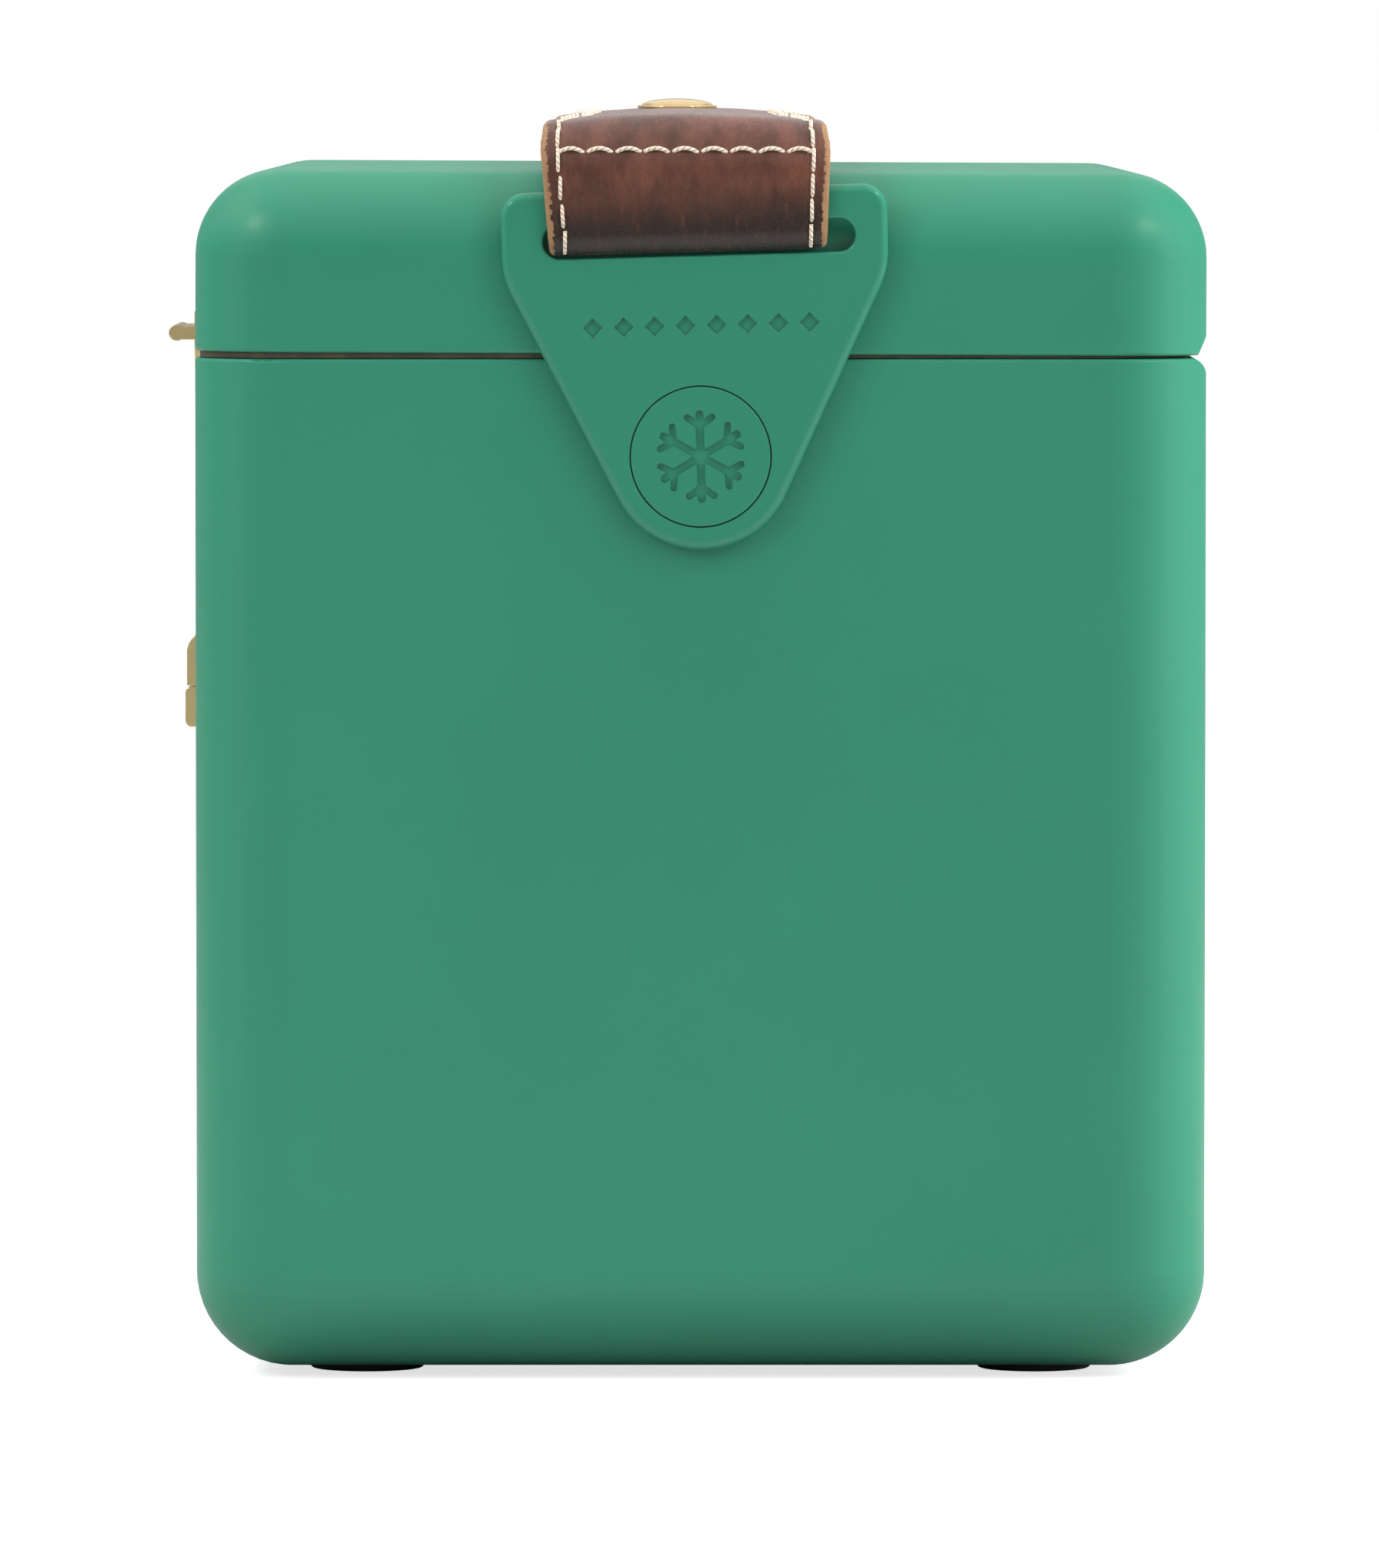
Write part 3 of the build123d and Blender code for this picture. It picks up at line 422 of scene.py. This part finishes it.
# Sideways tilt of the strap: that of the end plate in its slot, level over the lid
def strapRoll(z):
    s = strapShape
    share = float(np.clip((z - s["levelFrom"]) / (s["levelTo"] - s["levelFrom"]), 0, 1))
    return math.radians(s["tilt"]) * (1 - share * share * (3 - 2 * share))


# Point of the strap in metres, from the upright strap's own millimetres
def strapPoint(x, u, z):
    s = strapShape
    lean, roll = math.radians(s["tilt"]), strapRoll(z)
    up, across = z - s["tiltHeight"], u + s["shift"]
    y = s["originBack"] + across * math.cos(roll) - up * math.sin(lean)
    height = s["tiltHeight"] + s["originUp"] + across * math.sin(roll) + up * math.cos(lean)
    return Vector((x, y, height)) * mm


# Direction on the strap, rolled as the strap is at that height
def strapDirection(x, u, z, height):
    roll = strapRoll(height)
    y = u * math.cos(roll) - z * math.sin(roll)
    return Vector((x, y, u * math.sin(roll) + z * math.cos(roll))).normalized()


def halfWidth(x, z):
    leg = np.interp(z, strapShape["legHeights"], strapShape["legHalfWidths"])
    crown = np.interp(abs(x), strapShape["crownReaches"], strapShape["crownHalfWidths"])
    return float(min(leg, crown))


# Stations from the middle of the crown to the tail: x, z, thickness and share of crowning
def halfPath():
    s = strapShape
    stations = []
    for i in range(56):
        x = bendX * i / 56
        z = s["crown"] - (s["crown"] - s["shoulder"]) * (x / bendX) ** 2
        stations.append((x, z, s["thickness"], 1.0))
    for i in range(25):
        a = math.radians(90 - 90 * i / 24)
        fade = 0.5 + 0.5 * math.cos(math.pi * i / 24)
        x, z = bendX + s["bendRadius"] * math.cos(a), bendZ + s["bendRadius"] * math.sin(a)
        stations.append((x, z, s["thickness"], fade))
    for i in range(1, 21):
        stations.append((s["outside"], bendZ + (s["loopZ"] - bendZ) * i / 20, s["thickness"], 0.0))
    for i in range(1, 13):
        a = math.radians(-90 * i / 12)
        thin = s["thickness"] + (s["tailThickness"] - s["thickness"]) * max(0.0, (i - 6) / 6) * 0.6
        x, z = s["loopX"] + s["loopRadius"] * math.cos(a), s["loopZ"] + s["loopRadius"] * math.sin(a)
        stations.append((x, z, thin, 0.0))
    stations += [(x, z, t, 0.0) for x, z, t in s["tail"]]
    return stations


def fullPath():
    half = halfPath()
    return [(-x, z, t, c) for x, z, t, c in reversed(half[1:])] + half


def pathNormals(stations):
    flat = np.array([(x, z) for x, z, _, _ in stations])
    tangents = np.gradient(flat, axis=0)
    tangents /= np.linalg.norm(tangents, axis=1)[:, None]
    return [(-tz, tx) for tx, tz in tangents]


# How far the outer face lies under its crown line: crowning, burnished edge, stitch groove
def surfaceDrop(u, half, crowning, inset):
    s = strapShape
    drop = s["crownDrop"] * crowning * (abs(u) / half) ** 2
    fromEdge = half - abs(u)
    if fromEdge < s["edgeWidth"]:
        into = 1 - fromEdge / s["edgeWidth"]
        drop += s["edgeDrop"] * (1 - math.sqrt(max(0.0, 1 - into * into)))
    drop += s["grooveDepth"] * math.exp(-((fromEdge - inset) / 0.9) ** 2)
    return drop


def stitchInset(x):
    s = strapShape
    share = float(np.interp(abs(x), s["insetReaches"], (1, 0)))
    return s["stitchInset"] + (s["crownStitchInset"] - s["stitchInset"]) * share


def buildOuter():
    stations = fullPath()
    normals = pathNormals(stations)
    s = strapShape
    legTop, legBottom = s["shoulder"], s["loopZ"] - s["loopRadius"]
    inner = np.linspace(-1, 1, 61)
    soleStops = (1.0, 0.985, 0.9, 0.6, 0.3, 0.0, -0.3, -0.6, -0.9, -0.985, -1.0)
    bm = bmesh.new()
    uvLayer = bm.loops.layers.uv.new("strapUV")
    rawLayer = bm.verts.layers.float.new("rawEdge")
    dropLayer = bm.verts.layers.float.new("legDrop")
    rings, runs = [], []
    run = 0.0
    for index, ((x, z, thick, crowning), (nx, nz)) in enumerate(zip(stations, normals)):
        if index:
            run += math.hypot(x - stations[index - 1][0], z - stations[index - 1][1])
        half = halfWidth(x, z)
        inset = stitchInset(x)
        flatHalf = half - s["edgeWidth"]
        edge = [flatHalf + s["edgeWidth"] * f for f in (0.25, 0.5, 0.72, 0.88, 0.97, 1.0)]
        across = [-u for u in reversed(edge)] + [v * flatHalf for v in inner] + edge
        top = [(u, surfaceDrop(u, half, crowning, inset)) for u in across]
        low = s["crownDrop"] * crowning
        sole = [(u * half, thick + low * u * u) for u in soleStops]
        wall = min(thick - 0.1, s["edgeDrop"] + 0.35)
        profile = top + [(half, low + wall)] + sole + [(-half, low + wall)]
        ring = []
        for u, depth in profile:
            depth = min(depth, thick + low)
            if abs(u) < half and depth < thick * 0.6:
                depth += s["ripple"] * noise.noise(Vector((run * 0.09, u * 0.12, 3.0)))
            vert = bm.verts.new(strapPoint(x - nx * depth, u, z - nz * depth))
            onFace = depth < thick * 0.98 + low
            vert[rawLayer] = float(np.interp(half - abs(u), (0.6, 2.2), (1.0, 0.0))) if onFace else 0.8
            vert[dropLayer] = float(np.clip((legTop - z) / (legTop - legBottom), 0, 1))
            ring.append((vert, u))
        rings.append(ring)
        runs.append(run)
    count = len(rings[0])
    for i in range(len(rings) - 1):
        for k in range(count):
            corners = [(i, k), (i, (k + 1) % count), (i + 1, (k + 1) % count), (i + 1, k)]
            face = bm.faces.new([rings[row][column][0] for row, column in corners])
            face.smooth = True
            for loop, (row, column) in zip(face.loops, corners):
                loop[uvLayer].uv = (runs[row] * mm, rings[row][column][1] * mm)
    for ring in (rings[0], rings[-1]):
        bm.faces.new([v for v, _ in ring])
    bmesh.ops.recalc_face_normals(bm, faces=bm.faces)
    return finishMesh(bm, "strapOuter", leather)


def finishMesh(bm, name, *materials):
    mesh = bpy.data.meshes.new(name)
    bm.to_mesh(mesh)
    bm.free()
    for material in materials:
        mesh.materials.append(material)
    piece = bpy.data.objects.new(name, mesh)
    bpy.context.scene.collection.objects.link(piece)
    return piece


coreShape = {"reach": 156, "halfWidth": 26.0, "top": 303.05, "topDrop": 1.35, "bottom": 300.8, "ridge": 0.0}
liningShape = {"reach": 162, "margin": 0.6, "top": 300.65, "topDrop": 0.0, "bottom": 298.95, "ridge": 0.12}


# Inner layer of the strap: a long pad with thin ends, whose top and bottom follow the crown
def buildLayer(name, layer, halfAt, material):
    bm = bmesh.new()
    columns = np.linspace(-1, 1, 17)
    rings = []
    for x in np.linspace(-layer["reach"], layer["reach"], 97):
        half = halfAt(x)
        sag = (strapShape["crown"] - strapShape["shoulder"]) * (x / bendX) ** 2
        taper = min(1.0, (layer["reach"] - abs(x)) / 6.0 + 0.25)
        upper, lower = [], []
        for v in columns:
            top = layer["top"] - layer["topDrop"] * v * v
            middle = (top + layer["bottom"]) / 2
            upper.append((v * half, middle + (top - middle) * taper - sag))
            low = middle + (layer["bottom"] - middle) * taper - sag
            low += layer["ridge"] * noise.noise(Vector((x * 0.12, v * 3.0, 1.0)))
            lower.append((v * half * 0.995, low))
        rings.append([bm.verts.new(strapPoint(x, u, z)) for u, z in upper + lower[::-1]])
    count = len(rings[0])
    for first, second in zip(rings, rings[1:]):
        for k in range(count):
            bm.faces.new((first[k], first[(k + 1) % count], second[(k + 1) % count], second[k])).smooth = True
    for ring in (rings[0], rings[-1]):
        bm.faces.new(ring)
    bmesh.ops.recalc_face_normals(bm, faces=bm.faces)
    return finishMesh(bm, name, material)


strapOuter = buildOuter()
strapCore = buildLayer("strapCore", coreShape, lambda x: coreShape["halfWidth"], strapFelt)
strapLining = buildLayer(
    "strapLining", liningShape, lambda x: halfWidth(x, liningShape["top"]) - liningShape["margin"], lining,
)
print("strap layers built")


# Button on the crown of the strap

buttonShape = {
    "aside": -1.9,
    "radius": 10.1,
    "rim": 0.9,
    "rimHeight": 0.75,
    "height": 2.5,
    "stem": 2.0,
    "stemDepth": 6.8,
}


def buildButton():
    s = buttonShape
    outer, rimTop = s["radius"], s["rimHeight"]
    base = strapShape["crown"] - 0.1
    domeFoot = rimTop * 0.75
    profile = [(0.0, s["height"])]
    for i in range(1, 17):
        rise = (s["height"] - domeFoot) * math.sqrt(1 - (i / 16.6) ** 2)
        profile.append(((outer - s["rim"] * 1.3) * i / 16, domeFoot + rise))
    inner = outer - s["rim"] * 1.15
    profile += [
        (inner, rimTop * 0.55), (inner + 0.12, rimTop * 0.9), (outer - 0.45, rimTop * 1.05),
        (outer - 0.12, rimTop * 0.9), (outer, rimTop * 0.5), (outer - 0.1, 0.05), (outer - 0.4, 0.0),
        (s["stem"], 0.0), (s["stem"], -s["stemDepth"]), (0.0, -s["stemDepth"]),
    ]
    bm = bmesh.new()
    around = 96
    rings = []
    for r, h in profile:
        turns = np.linspace(0, math.tau, around, endpoint=False) if r else [0.0]
        ring = [(r * math.cos(t), s["aside"] + r * math.sin(t), base + h) for t in turns]
        rings.append([bm.verts.new(strapPoint(*point)) for point in ring])
    for first, second in zip(rings, rings[1:]):
        for k in range(around):
            ends = (k, k + 1)
            quad = [first[i % len(first)] for i in ends] + [second[i % len(second)] for i in reversed(ends)]
            bm.faces.new(list(dict.fromkeys(quad))).smooth = True  # a triangle where a ring is one point
    bmesh.ops.recalc_face_normals(bm, faces=bm.faces)
    return finishMesh(bm, "strapButton", paleBrass)


strapButton = buildButton()


# Stitches, one instance of a curved thread at each stitch point

stitchLook = {
    "length": 5.6 * mm,
    "pitch": 6.5 * mm,
    "threadRadius": 0.46 * mm,
    "arch": 0.75 * mm,
    "sink": 0.42 * mm,
    "bow": 0.0 * mm,
    "jitter": 0.05,
    "seed": 7,
}
rowLook = dict(stitchLook, length=6.0 * mm, threadRadius=0.5 * mm, bow=0.6 * mm, arch=0.8 * mm)
rowAngle = 21.5  # degrees up the bend to the row across the strap
rowCount = 9
rowMargin = 3.3


def stitchTree(name):
    tree = bpy.data.node_groups.new(name, "GeometryNodeTree")
    face = tree.interface
    inputs = {}
    for label, kind in (
        ("Points", "NodeSocketGeometry"), ("Length", "NodeSocketFloat"), ("Thread Radius", "NodeSocketFloat"),
        ("Arch", "NodeSocketFloat"), ("Sink", "NodeSocketFloat"), ("Bow", "NodeSocketFloat"),
        ("Jitter", "NodeSocketFloat"), ("Seed", "NodeSocketInt"), ("Thread", "NodeSocketMaterial"),
    ):
        inputs[label] = face.new_socket(name=label, in_out="INPUT", socket_type=kind).identifier
    face.new_socket(name="Stitches", in_out="OUTPUT", socket_type="NodeSocketGeometry")
    given = addNode(tree, "NodeGroupInput").outputs

    def combine(x, y, z):
        return addNode(tree, "ShaderNodeCombineXYZ", {"X": x, "Y": y, "Z": z}).outputs[0]

    halfLength = maths(tree, "MULTIPLY", given["Length"], 0.5)
    under = maths(tree, "MULTIPLY", given["Sink"], -1.0)
    lift = maths(tree, "ADD", maths(tree, "MULTIPLY", given["Arch"], 2.0), given["Sink"])
    bend = addNode(tree, "GeometryNodeCurveQuadraticBezier", {
        "Resolution": 18,
        "Start": combine(maths(tree, "MULTIPLY", halfLength, -1.0), 0.0, under),
        "Middle": combine(0.0, maths(tree, "MULTIPLY", given["Bow"], 2.0), lift),
        "End": combine(halfLength, 0.0, under),
    })
    factor = addNode(tree, "GeometryNodeSplineParameter").outputs["Factor"]
    alongCurve = addNode(tree, "GeometryNodeStoreNamedAttribute", {
        "Geometry": bend.outputs["Curve"], "Name": "threadAlong", "Value": factor,
    }, data_type="FLOAT", domain="POINT")
    circle = addNode(tree, "GeometryNodeCurveArc", {
        "Resolution": 15, "Radius": given["Thread Radius"], "Sweep Angle": math.tau})
    aroundCurve = addNode(tree, "GeometryNodeStoreNamedAttribute", {
        "Geometry": circle.outputs["Curve"], "Name": "threadAround", "Value": factor,
    }, data_type="FLOAT", domain="POINT")
    tube = addNode(tree, "GeometryNodeCurveToMesh", {
        "Curve": alongCurve.outputs["Geometry"], "Profile Curve": aroundCurve.outputs["Geometry"],
        "Fill Caps": False,
    })
    smooth = addNode(tree, "GeometryNodeSetShadeSmooth", {"Geometry": tube.outputs["Mesh"]})

    def stored(label):
        node = addNode(tree, "GeometryNodeInputNamedAttribute", {"Name": label}, data_type="FLOAT_VECTOR")
        return node.outputs["Attribute"]

    upright = addNode(tree, "FunctionNodeAlignRotationToVector", {"Vector": stored("outward")}, axis="Z")
    aligned = addNode(tree, "FunctionNodeAlignRotationToVector", {
        "Rotation": upright.outputs["Rotation"], "Vector": stored("along")}, axis="X", pivot_axis="Z")
    more = given["Jitter"]
    less = maths(tree, "MULTIPLY", more, -1.0)
    turn = addNode(tree, "FunctionNodeRandomValue", {
        "Min": combine(less, less, less), "Max": combine(more, more, more), "Seed": given["Seed"],
    }, data_type="FLOAT_VECTOR")
    twist = addNode(tree, "FunctionNodeEulerToRotation", {"Euler": turn.outputs["Value"]})
    rotated = addNode(tree, "FunctionNodeRotateRotation", {
        "Rotation": aligned.outputs["Rotation"], "Rotate By": twist.outputs["Rotation"],
    }, rotation_space="LOCAL")
    instances = addNode(tree, "GeometryNodeInstanceOnPoints", {
        "Points": given["Points"], "Instance": smooth.outputs["Geometry"],
        "Rotation": rotated.outputs["Rotation"],
    })
    real = addNode(tree, "GeometryNodeRealizeInstances", {"Geometry": instances.outputs["Instances"]})
    painted = addNode(tree, "GeometryNodeSetMaterial", {
        "Geometry": real.outputs["Geometry"], "Material": given["Thread"]})
    output = addNode(tree, "NodeGroupOutput")
    tree.links.new(painted.outputs["Geometry"], output.inputs[0])
    return tree, inputs


# Run the stitch tree on one set of points and keep the result as a plain mesh
def sewn(name, places, look, tree, inputs):
    mesh = bpy.data.meshes.new(name + "Points")
    mesh.from_pydata([p for p, _, _ in places], [], [])
    for label, column in (("along", 1), ("outward", 2)):
        layer = mesh.attributes.new(label, "FLOAT_VECTOR", "POINT")
        layer.data.foreach_set("vector", np.array([place[column] for place in places], np.float32).ravel())
    host = bpy.data.objects.new(name + "Points", mesh)
    bpy.context.scene.collection.objects.link(host)
    modifier = host.modifiers.new("stitches", "NODES")
    modifier.node_group = tree
    for label, key in (
        ("Length", "length"), ("Thread Radius", "threadRadius"), ("Arch", "arch"), ("Sink", "sink"),
        ("Bow", "bow"), ("Jitter", "jitter"), ("Seed", "seed"),
    ):
        modifier[inputs[label]] = look[key]
    modifier[inputs["Thread"]] = thread
    bpy.context.view_layer.update()
    evaluated = host.evaluated_get(bpy.context.evaluated_depsgraph_get())
    result = bpy.data.meshes.new_from_object(evaluated)
    result.name = name
    host.modifiers.remove(modifier)
    bpy.data.objects.remove(host)
    piece = bpy.data.objects.new(name, result)
    bpy.context.scene.collection.objects.link(piece)
    return piece


# Point, running direction and outward direction on the strap's outer face
def surfaceAt(run, u, stations, normals, lengths):
    x = float(np.interp(run, lengths, [s[0] for s in stations]))
    z = float(np.interp(run, lengths, [s[1] for s in stations]))
    crowning = float(np.interp(run, lengths, [s[3] for s in stations]))
    nx = float(np.interp(run, lengths, [n[0] for n in normals]))
    nz = float(np.interp(run, lengths, [n[1] for n in normals]))
    half = halfWidth(x, z)
    drop = surfaceDrop(u, half, crowning, stitchInset(x))
    slope = 2 * strapShape["crownDrop"] * crowning * u / half ** 2
    outward = strapDirection(nx, slope, nz, z)
    forward = strapDirection(nz, 0.0, -nx, z)
    return strapPoint(x - nx * drop, u, z - nz * drop), forward, outward


def stitchPlaces():
    stations = fullPath()
    normals = pathNormals(stations)
    steps = [0.0] + [math.hypot(b[0] - a[0], b[1] - a[1]) for a, b in zip(stations, stations[1:])]
    lengths = np.cumsum(steps)
    visible = [i for i, s in enumerate(stations) if s[2] == strapShape["thickness"]]
    first, last = lengths[visible[0]] + 2.0, lengths[visible[-1]] - 2.0
    count = int(round((last - first) / (stitchLook["pitch"] / mm)))
    edges = []
    for side in (-1, 1):
        for i in range(count + 1):
            run = first + (last - first) * i / count
            x = float(np.interp(run, lengths, [s[0] for s in stations]))
            z = float(np.interp(run, lengths, [s[1] for s in stations]))
            u = side * (halfWidth(x, z) - stitchInset(x))
            edges.append(surfaceAt(run, u, stations, normals, lengths))
    rows = []
    a = math.radians(rowAngle)
    target = (bendX + strapShape["bendRadius"] * math.cos(a), bendZ + strapShape["bendRadius"] * math.sin(a))
    for sign in (-1, 1):
        gaps = [math.hypot(s[0] - sign * target[0], s[1] - target[1]) for s in stations]
        run = float(lengths[int(np.argmin(gaps))])
        reach = halfWidth(*target) - strapShape["stitchInset"] - rowMargin
        for i in range(rowCount):
            u = -reach + 2 * reach * i / (rowCount - 1)
            point, _, outward = surfaceAt(run, u, stations, normals, lengths)
            rows.append((point, Vector((0.0, sign, 0.0)), outward))
    return edges, rows


stitchGroup, stitchInputs = stitchTree("stitchThreads")
edgePlaces, rowPlaces = stitchPlaces()
edgeStitches = sewn("edgeStitches", edgePlaces, stitchLook, stitchGroup, stitchInputs)
rowStitches = sewn("rowStitches", rowPlaces, rowLook, stitchGroup, stitchInputs)
print("stitches sewn:", len(edgePlaces) + len(rowPlaces))

for piece, slotName, replaced in (
    (strapOuter, "leather", ["strap_outer"]), (strapCore, "leather_core", ["strap_core"]),
    (strapLining, "leather_lining", ["strap_lining"]), (strapButton, "brass", ["strap_button"]),
    (edgeStitches, "leather", []), (rowStitches, "leather", []),
):
    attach(piece, "handle")
    if replaced:
        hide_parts(*replaced)
print("strap rides on the handle")


# Floor, light and camera

studio = {
    "floorColour": (0.5, 0.5, 0.5, 1.0),
    "floorLift": 0.72,
    "ambient": 0.30,
    "background": 1.0,
    "skySoftness": 110.0,
    "skyStrength": 1.1,
    "keyPower": 11.7,
    "sideRightPower": 42.0,
    "sideLeftPower": 5.4,
    "topPower": 14.0,
    "cornerPower": 4.5,
    "stripPower": 1.6,
    "rimPower": 2.0,
}


def buildFloor():
    bm = bmesh.new()
    bmesh.ops.create_circle(bm, cap_ends=True, segments=64, radius=60.0)
    material, tree, surface, coords = startMaterial("floorPaint")
    tone = noiseTex(tree, coords, 3.0, 2.0)
    colour = mixed(tree, tone, shaded(studio["floorColour"], 0.99), studio["floorColour"])
    connect(tree, surface, colour=colour, roughness=0.9, specular=0.1)
    seen = addNode(tree, "ShaderNodeLightPath").outputs["Is Camera Ray"]
    surface.inputs["Emission Color"].default_value = (1.0, 1.0, 1.0, 1.0)
    tree.links.new(maths(tree, "MULTIPLY", seen, studio["floorLift"]), surface.inputs["Emission Strength"])
    return finishMesh(bm, "floor", material)


def areaLight(name, place, aim, width, height, power, lit=True, reflected=True):
    data = bpy.data.lights.new(name, "AREA")
    data.shape = "RECTANGLE"
    data.size, data.size_y, data.energy = width, height, power
    lamp = bpy.data.objects.new(name, data)
    lamp.location = place
    lamp.visible_diffuse = lit
    lamp.visible_glossy = reflected
    lamp.rotation_mode = "QUATERNION"
    lamp.rotation_quaternion = (Vector(aim) - Vector(place)).to_track_quat("-Z", "Y")
    bpy.context.scene.collection.objects.link(lamp)
    return lamp


floor = buildFloor()
centre = (0.1, 0.0, 0.16)
areaLight("keyRight", (1.3, 1.35, 0.75), centre, 0.9, 1.3, studio["keyPower"] * 0.8, reflected=False)
areaLight("keyLeft", (1.3, -1.35, 1.0), centre, 0.8, 0.8, studio["keyPower"], reflected=False)
areaLight("sideRight", (-0.05, 1.6, 0.75), centre, 1.2, 1.2, studio["sideRightPower"], reflected=False)
areaLight("sideLeft", (-0.05, -0.7, 0.75), centre, 0.4, 0.4, studio["sideLeftPower"], reflected=False)
areaLight("topSoft", (0.0, 0.0, 1.7), centre, 1.4, 1.4, studio["topPower"], reflected=False)
# The corner and back lights also show in the gloss, and the two strips show in nothing else
areaLight("cornerRight", (1.0, 1.3, 1.5), (0.15, 0.1, 0.28), 0.25, 0.25, studio["cornerPower"])
areaLight("cornerLeft", (1.0, -1.3, 1.5), (0.15, -0.1, 0.28), 0.25, 0.25, studio["cornerPower"])
areaLight("stripRight", (0.7, 1.6, 0.4), centre, 0.3, 1.5, studio["stripPower"], lit=False)
areaLight("stripLeft", (0.7, -1.6, 0.4), centre, 0.3, 1.5, studio["stripPower"], lit=False)
areaLight("rimBack", (-1.6, 0.0, 1.1), centre, 1.4, 0.8, studio["rimPower"])
sky = bpy.data.lights.new("skyLight", "SUN")
sky.energy = studio["skyStrength"]
sky.angle = math.radians(studio["skySoftness"])
skyLamp = bpy.data.objects.new("skyLight", sky)
skyLamp.rotation_euler = (0.0, math.radians(8), 0.0)
bpy.context.scene.collection.objects.link(skyLamp)

world = bpy.data.worlds.new("studioAir")
world.use_nodes = True
air = world.node_tree
seen = addNode(air, "ShaderNodeLightPath").outputs["Is Camera Ray"]
air.nodes["Background"].inputs["Color"].default_value = (1.0, 1.0, 1.0, 1.0)
glow = ranged(air, seen, 0.0, 1.0, studio["ambient"], studio["background"])
air.links.new(glow, air.nodes["Background"].inputs["Strength"])
bpy.context.scene.world = world
bpy.context.scene.view_settings.view_transform = "Standard"

cameraSetup = {
    "nearFace": 0.173,
    "distance": 3.5,
    "height": 0.3214,
    "side": 0.0028,
    "aimHeight": 0.1458,
    "frameHeight": 0.3806,
    "sensor": 36.0,
}
cameraData = bpy.data.cameras.new("camera")
cameraData.sensor_fit = "VERTICAL"
cameraData.sensor_height = cameraSetup["sensor"]
cameraData.sensor_width = cameraSetup["sensor"]
aim = Vector((cameraSetup["nearFace"], cameraSetup["side"], cameraSetup["aimHeight"]))
place = Vector((aim.x + cameraSetup["distance"], cameraSetup["side"], cameraSetup["height"]))
cameraData.lens = cameraSetup["sensor"] * (place - aim).length / cameraSetup["frameHeight"]
cameraData.clip_end = 200.0
camera = bpy.data.objects.new("camera", cameraData)
camera.location = place
camera.rotation_mode = "QUATERNION"
camera.rotation_quaternion = (aim - place).to_track_quat("-Z", "Y")
bpy.context.scene.collection.objects.link(camera)
bpy.context.scene.camera = camera
print("studio ready")
